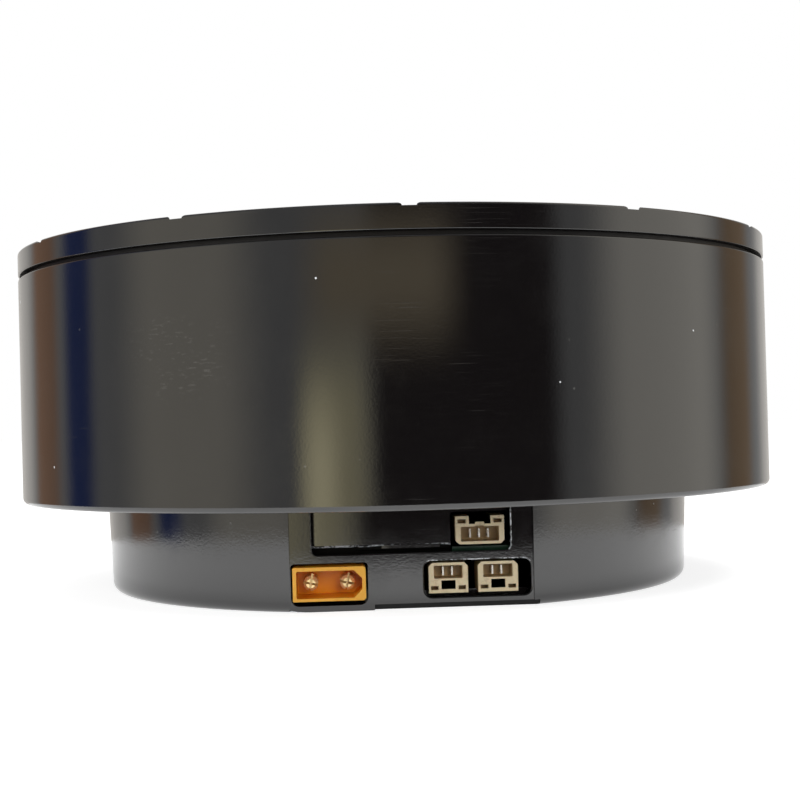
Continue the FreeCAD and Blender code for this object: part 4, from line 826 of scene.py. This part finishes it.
def makeSignalSocket(node):
    s, own = socketShape, signalSockets[node]
    front, back = s["front"], s["front"] + s["depth"]
    half, middle, height, low = own["width"] / 2, own["middle"], own["height"], own["low"]

    def outline(points):
        # the latch side is down for way 1 and up for way -1
        if own["way"] > 0:
            return [(middle + x, low + z) for x, z in points]
        return [(middle + x, low + height - z) for x, z in reversed(points)]

    corner, roof = s["corner"], height - s["roof"]
    shell = clipped(-half, half, 0, height, (0, 0, corner, corner))
    body = pushed(node + "Shell", outline(shell), front, back)
    deep = front + s["cavityDepth"]
    two = own["contacts"] == 2
    side = half - s["side"]
    latch, latchLow = (s["latch"], s["latchLow"]) if two else (1.5, -0.5)
    shelf = s["shelf"] if two else s["lowShelf"]
    latchHigh = s["latchHigh"] if two else shelf - 0.35
    tools = [pushed("cavity", outline(rectangle(-side, side, shelf, roof, (0.15,) * 4)), front - 1, deep),
             pushed("latch", outline(rectangle(-latch, latch, latchLow, latchHigh)), front - 1, back + 1)]
    tongue = s["tongue"]
    if not two:
        slot = rectangle(-tongue, tongue, shelf - 0.5, shelf + 0.2)
        tools.append(pushed("slot", outline(slot), front - 1, deep))
    for sign in (-1, 1):
        near, far = sign * (latch + 0.4), sign * (half - 0.3)
        foot = rectangle(min(near, far), max(near, far), *s["foot"])
        tools.append(pushed("foot", outline(foot), front - 1, front + 2.2))
    cut(body, *tools)
    if not two:
        bar = rectangle(-tongue, tongue, shelf - 0.62, shelf - 0.1, (0, 0, 0.1, 0.1))
        cut(body, pushed("tongue", outline(bar), front + 0.25, deep + 0.3), way="UNION")
    settle(body, "socket_cream", "housing", [node], sharp=25.0)
    level = [low + z if own["way"] > 0 else low + height - z for z in (latchLow, latchHigh)]
    # painted shade: the faces inside the latch opening are painted near-black for the shade in that hole
    repaint(body, "gap_black", lambda face: abs(face.center.x / mm - middle) < latch + 0.02
            and min(level) - 0.02 < face.center.z / mm < max(level) + 0.02
            and face.center.y / mm > front + 0.35)
    makeContacts(node, outline, shelf, roof)


def makeContacts(node, outline, low, high):
    # flat blades with a narrower tip, one beside the other in the cavity
    c, own = contactShape, signalSockets[node]
    blades = []
    middle = (low + high) / 2
    for index in range(own["contacts"]):
        across = (index - (own["contacts"] - 1) / 2) * c["pitch"]
        half, tall, tip = c["width"] / 2, c["high"] / 2, c["tip"]
        for half, tall, front in ((half, tall, c["front"]), (half - tip, tall - tip * 2, c["front"] - 0.3)):
            blade = rectangle(across - half, across + half, middle - tall, middle + tall, (0.04,) * 4, 2)
            blades.append(pushed("blade", outline(blade), front, c["back"]))
    stood = node.replace("socket", "contacts")
    settle(joined(node + "Contacts", blades), "contact_tin", "housing", [stood])


for node in signalSockets:
    makeSignalSocket(node)
print("signal sockets made")


# power socket and its split pins

powerSocket = {
    "left": -16.3, "right": -6.38, "low": 1.62, "high": 6.22, "front": -44.2, "depth": 8.4,
    "wall": 0.50, "sill": 0.38, "cut": 1.1, "cavityDepth": 6.6,
    "pinHeight": 3.95, "pins": (-13.85, -8.85), "pinRadius": 1.02, "pinTip": 0.62, "pinLength": 7.0,
    "pinFront": -43.0, "slit": 0.30, "slitDepth": 3.2, "pinTurn": 12.0,
}


def makePowerSocket():
    p = powerSocket
    back = p["front"] + p["depth"]
    outer = clipped(p["left"], p["right"], p["low"], p["high"], (0.12, 0.3, 0.3, 0.12))
    body = pushed("powerShell", outer, p["front"], back)
    wall = p["wall"]
    inner = clipped(p["left"] + wall, p["right"] - wall, p["low"] + p["sill"], p["high"] - wall,
                    (0.15, p["cut"], p["cut"], 0.15))
    cut(body, pushed("cavity", inner, p["front"] - 1, p["front"] + p["cavityDepth"]))
    settle(body, "socket_amber", "housing", ["power_socket"], sharp=25.0)

    pins = []
    for x in p["pins"]:
        radius, length, slit, deep = p["pinRadius"], p["pinLength"], p["slit"] / 2, p["slitDepth"]
        pin = turned("pin", [(0, 0), (p["pinTip"], 0, 0.1), (radius, 0.4, 0.25), (radius, length),
                             (0, length)], 48)
        cut(pin, pushed("slit", rectangle(-2, 2, -slit, slit), -1, deep, "Z"),
            pushed("slit", rectangle(-slit, slit, -2, 2), -1, deep, "Z"))
        spun = Matrix.Rotation(math.radians(p["pinTurn"]), 4, "Z")
        lying = Matrix.Rotation(math.radians(-90), 4, "X") @ spun
        pin.data.transform(Matrix.Translation(Vector((x, p["pinFront"], p["pinHeight"])) * mm) @ lying)
        pins.append(pin)
    both = joined("splitPins", pins)
    settle(both, "contact_gold", "housing", ["power_pins"])


makePowerSocket()
print("power socket made")


# rings of countersunk screws

screwRings = {
    "coverScrews": {"node": "front_cover_screws", "count": 12, "circle": 57.15, "start": -90.0, "face": 52.8,
                    "head": 2.72, "drive": 1.25, "up": 1, "seed": 3},
    "retainerScrews": {"node": "retainer_screws", "count": 8, "circle": 38.75, "start": 22.5, "face": 53.2,
                       "head": 1.88, "drive": 0.9, "up": 1, "seed": 8},
    "rearScrews": {"node": "rear_cover_screws", "count": 4, "circle": 28.0, "start": 0.0, "face": 0.0,
                   "head": 2.72, "drive": 1.25, "up": -1, "seed": 5},
}


def screwBlank(head, drive):
    # a flat countersunk head with a hexagon socket, its face at height 0
    cone = head - 1.5 if head > 2 else head - 0.95
    blank = turned("blank", [(0, -4.0), (head - cone, -4.0), (head - cone, -cone - 0.15), (head, -0.15),
                             (head - 0.04, 0, 0.03), (0, 0)], 48, steps=2)
    points = [(drive * math.cos(fullTurn * i / 6), drive * math.sin(fullTurn * i / 6)) for i in range(6)]
    wide = [(x * 1.1, y * 1.1) for x, y in points]
    cut(blank, pushed("socket", points, -1.15, 1.0, "Z"))
    cut(blank, pushed("mouth", wide, -0.09, 1.0, "Z"))
    return blank


def ringTree():
    tree = bpy.data.node_groups.new("ringOfCopies", "GeometryNodeTree")
    names = {}
    for name, kind in (("Copy", "Object"), ("Count", "Int"), ("Circle Radius", "Float"),
                       ("Start Angle", "Float"), ("Face Height", "Float"), ("Flip", "Float"),
                       ("Seed", "Int"), ("Finish", "Material")):
        socket = tree.interface.new_socket(name, in_out="INPUT", socket_type="NodeSocket" + kind)
        names[name] = socket.identifier
    tree.interface.new_socket("Geometry", in_out="OUTPUT", socket_type="NodeSocketGeometry")
    board = Board(tree)
    given = tree.nodes.new("NodeGroupInput")
    value = {name: Wire(board, given.outputs[name]) for name in names}
    index = board.put("GeometryNodeInputIndex")
    angle = value["Start Angle"] + index * (fullTurn / value["Count"])
    x = board.put("ShaderNodeMath", {"operation": "COSINE"}, {0: angle}) * value["Circle Radius"]
    y = board.put("ShaderNodeMath", {"operation": "SINE"}, {0: angle}) * value["Circle Radius"]
    place = board.put("ShaderNodeCombineXYZ", {}, {0: x, 1: y, 2: value["Face Height"]})
    points = board.put("GeometryNodeMeshLine", {}, {"Count": value["Count"]})
    spread = board.put("GeometryNodeSetPosition", {}, {"Geometry": points, "Position": place})
    spin = board.put("FunctionNodeRandomValue", {"data_type": "FLOAT"},
                     {2: 0.0, 3: fullTurn / 6, "ID": index, "Seed": value["Seed"]}, output=1)
    turn = board.put("ShaderNodeCombineXYZ", {}, {0: value["Flip"], 1: 0.0, 2: spin})
    source = board.put("GeometryNodeObjectInfo", {}, {"Object": value["Copy"]}, output="Geometry")
    copies = board.put("GeometryNodeInstanceOnPoints", {},
                       {"Points": spread, "Instance": source, "Rotation": turn})
    real = board.put("GeometryNodeRealizeInstances", {}, {"Geometry": copies})
    done = board.put("GeometryNodeSetMaterial", {}, {"Geometry": real, "Material": value["Finish"]})
    leave = tree.nodes.new("NodeGroupOutput")
    tree.links.new(done.socket, leave.inputs[0])
    return tree, names


ringOfCopies, ringInputs = ringTree()


def ringOf(name, blank, count, circle, start, face, flip, seed, finish):
    ring = asObject(name, bpy.data.meshes.new(name))
    step = ring.modifiers.new("ring", "NODES")
    step.node_group = ringOfCopies
    for label, value in (("Copy", blank), ("Count", count), ("Circle Radius", circle * mm),
                         ("Start Angle", math.radians(start)), ("Face Height", face * mm),
                         ("Flip", flip), ("Seed", seed), ("Finish", finishes[finish])):
        step[ringInputs[label]] = value
    freeze(ring)
    return ring


for name, screw in screwRings.items():
    blank = screwBlank(screw["head"], screw["drive"])
    ring = ringOf(name, blank, screw["count"], screw["circle"], screw["start"], screw["face"],
                  0.0 if screw["up"] > 0 else math.pi, screw["seed"], "screw_black")
    drop(blank)
    settle(ring, "screw_black", "housing", [screw["node"]])
print("screws made")


# nodes that are right as they are and only get a finish

def slotOf(thing):
    named = [slot.material.name.split(".")[0] for slot in thing.material_slots if slot.material]
    return next((name for name in named if name in finishes), "steel")


def finishCarriedNodes():
    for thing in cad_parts.values():
        slot = slotOf(thing)
        thing.data.materials.clear()
        thing.data.materials.append(finishes[slot])


finishCarriedNodes()
print("carried nodes finished")


# floor, backdrop and lamps

studio = {"floorRadius": 3000.0, "floorColour": 0.52, "floorGlow": 0.78, "worldPlain": 0.55}
# panels that stand round the part, by angle from the socket side towards +X in degrees, and by height in mm;
# later ones stand in front of earlier ones
screen = {"radius": 110.0, "top": 420.0, "plain": (0.4, 0.4, 0.4), "above": (0.55, 0.55, 0.55)}
panels = {
    "woodenDoorLeft": {
        "turn": (-105, -90), "soft": 3, "rise": (-20, 500), "fade": 5, "tone": (0.45, 0.27, 0.18)},
    "blueCloth": {
        "turn": (-85, -74), "soft": 3, "rise": (-20, 500), "fade": 5, "tone": (0.05, 0.08, 0.25)},
    "paleWallLeft": {
        "turn": (-60, -32), "soft": 7, "rise": (-20, 80), "fade": 20, "tone": (0.85, 0.8, 0.7)},
    "darkDoorway": {
        "turn": (-7, 31), "soft": 3, "rise": (-20, 90), "fade": 10, "tone": (0.05, 0.04, 0.04)},
    "lampGlow": {
        "turn": (-18, 9), "soft": 5, "rise": (40, 58), "fade": 8, "tone": (0.6, 0.5, 0.35)},
    "litShade": {
        "turn": (-20, -8), "soft": 3, "rise": (-20, 36), "fade": 10, "tone": (1.1, 1.0, 0.65)},
    "litShadeEdge": {
        "turn": (-20, -14), "soft": 3, "rise": (-20, 28), "fade": 10, "tone": (2.2, 2.0, 1.3)},
    "windowRight": {
        "turn": (42, 77), "soft": 7, "rise": (-20, 500), "fade": 5, "tone": (1.15, 1.1, 1.0)},
    "woodenDoorRight": {
        "turn": (82, 98), "soft": 4, "rise": (-20, 500), "fade": 5, "tone": (0.4, 0.28, 0.18)},
    "paleWallBehind": {
        "turn": (108, 252), "soft": 5, "rise": (-20, 500), "fade": 5, "tone": (0.75, 0.72, 0.68)},
}


def makeFloor():
    paint = Paint("paleFloor")
    grain = paint.noise(30.0, 3.0)
    pale = studio["floorColour"]
    tone = paint.shade(grain.between(0.3, 0.7), (pale,) * 3, (pale * 0.97,) * 3)
    plain = paint.put("ShaderNodeBsdfDiffuse", {}, {"Color": tone})
    strength = paint.shownBehind() * studio["floorGlow"]
    glow = paint.put("ShaderNodeEmission", {}, {"Color": (1, 1, 1), "Strength": strength})
    both = paint.put("ShaderNodeAddShader", {}, {0: plain, 1: glow})
    paint.put("ShaderNodeOutputMaterial", {}, {"Surface": both})
    reach = studio["floorRadius"]
    floor = turned("floor", [(0, 0), (reach, 0), (reach, -1.0), (0, -1.0)], 64)
    floor.data.materials.append(paint.material)


def makeWorld():
    world = bpy.data.worlds.new("studio")
    bpy.context.scene.world = world
    world.use_nodes = True
    world.node_tree.nodes.clear()
    board = Board(world.node_tree)
    shown = board.put("ShaderNodeMath", {"operation": "MINIMUM"}, {0: board.shownBehind(), 1: 1.0})
    strength = shown * (1.0 - studio["worldPlain"]) + studio["worldPlain"]
    glow = board.put("ShaderNodeBackground", {}, {"Color": (1, 1, 1), "Strength": strength})
    board.put("ShaderNodeOutputWorld", {}, {"Surface": glow})


def eased(value, start, end):
    share = min(1.0, max(0.0, (value - start) / (end - start)))
    return share * share * (3 - 2 * share)


def within(value, span, soft):
    start, end = span
    return eased(value, start - soft, start + soft) * (1 - eased(value, end - soft, end + soft))


def makePanels():
    # seen only in reflections, so that the gloss is darker and lighter by turns as it is in a room
    paint = Paint("standingPanels")
    tone = paint.put("ShaderNodeAttribute", {"attribute_name": "tone"}, output="Color")
    glow = paint.put("ShaderNodeEmission", {}, {"Color": tone, "Strength": 1.0})
    paint.put("ShaderNodeOutputMaterial", {}, {"Surface": glow})
    radius, top = screen["radius"], screen["top"]
    outline = [(radius, 0.2 + 2.0 * step) for step in range(60)]
    outline += [(radius, height) for height in range(130, int(top), 30)]
    outline += [(radius - step * 20, top) for step in range(6)]
    work = bmesh.new()
    tones = work.verts.layers.float_color.new("tone")
    count = 480
    rows = []
    for r, height in outline:
        row = []
        for i in range(count):
            degrees = -180 + 360 * i / count
            angle = math.radians(degrees)
            vertex = work.verts.new((r * mm * math.sin(angle), -r * mm * math.cos(angle), height * mm))
            shade = Vector(screen["plain"])
            for panel in panels.values():
                nearest = degrees + 360 if degrees < -90 and panel["turn"][1] > 180 else degrees
                share = within(nearest, panel["turn"], panel["soft"])
                share *= within(height, panel["rise"], panel["fade"])
                shade = shade.lerp(Vector(panel["tone"]), share)
            if height >= top:
                shade = Vector(screen["above"])
            vertex[tones] = (*shade, 1.0)
            row.append(vertex)
        rows.append(row)
    for low, high in zip(rows, rows[1:]):
        for i in range(count):
            work.faces.new((low[i], low[(i + 1) % count], high[(i + 1) % count], high[i]))
    mesh = bpy.data.meshes.new("standingPanels")
    work.to_mesh(mesh)
    work.free()
    standing = asObject("standingPanels", mesh)
    standing.data.materials.append(paint.material)
    standing.visible_camera = False
    standing.visible_diffuse = False
    standing.visible_shadow = False
    standing.visible_transmission = False


lamps = {
    "overhead": {"place": (0.1, -0.25, 0.75), "look": (0, 0, 0.02), "size": 0.7, "power": 5.0},
    "left": {"place": (-0.7, -0.55, 0.35), "look": (0, 0, 0.02), "size": 0.45, "power": 3.0},
    "front": {"place": (0.15, -0.95, 0.22), "look": (0, 0, 0.01), "size": 0.35, "power": 2.6},
}


def makeLamps():
    for name, lamp in lamps.items():
        data = bpy.data.lights.new(name, "AREA")
        data.shape = "DISK"
        data.size = lamp["size"]
        data.energy = lamp["power"]
        item = bpy.data.objects.new(name, data)
        bpy.context.scene.collection.objects.link(item)
        item.location = lamp["place"]
        ahead = Vector(lamp["look"]) - Vector(lamp["place"])
        item.rotation_euler = ahead.to_track_quat("-Z", "Y").to_euler()
        item.visible_glossy = False


makeFloor()
makeWorld()
makePanels()
makeLamps()
bpy.context.scene.view_settings.view_transform = "Standard"
print("studio made")
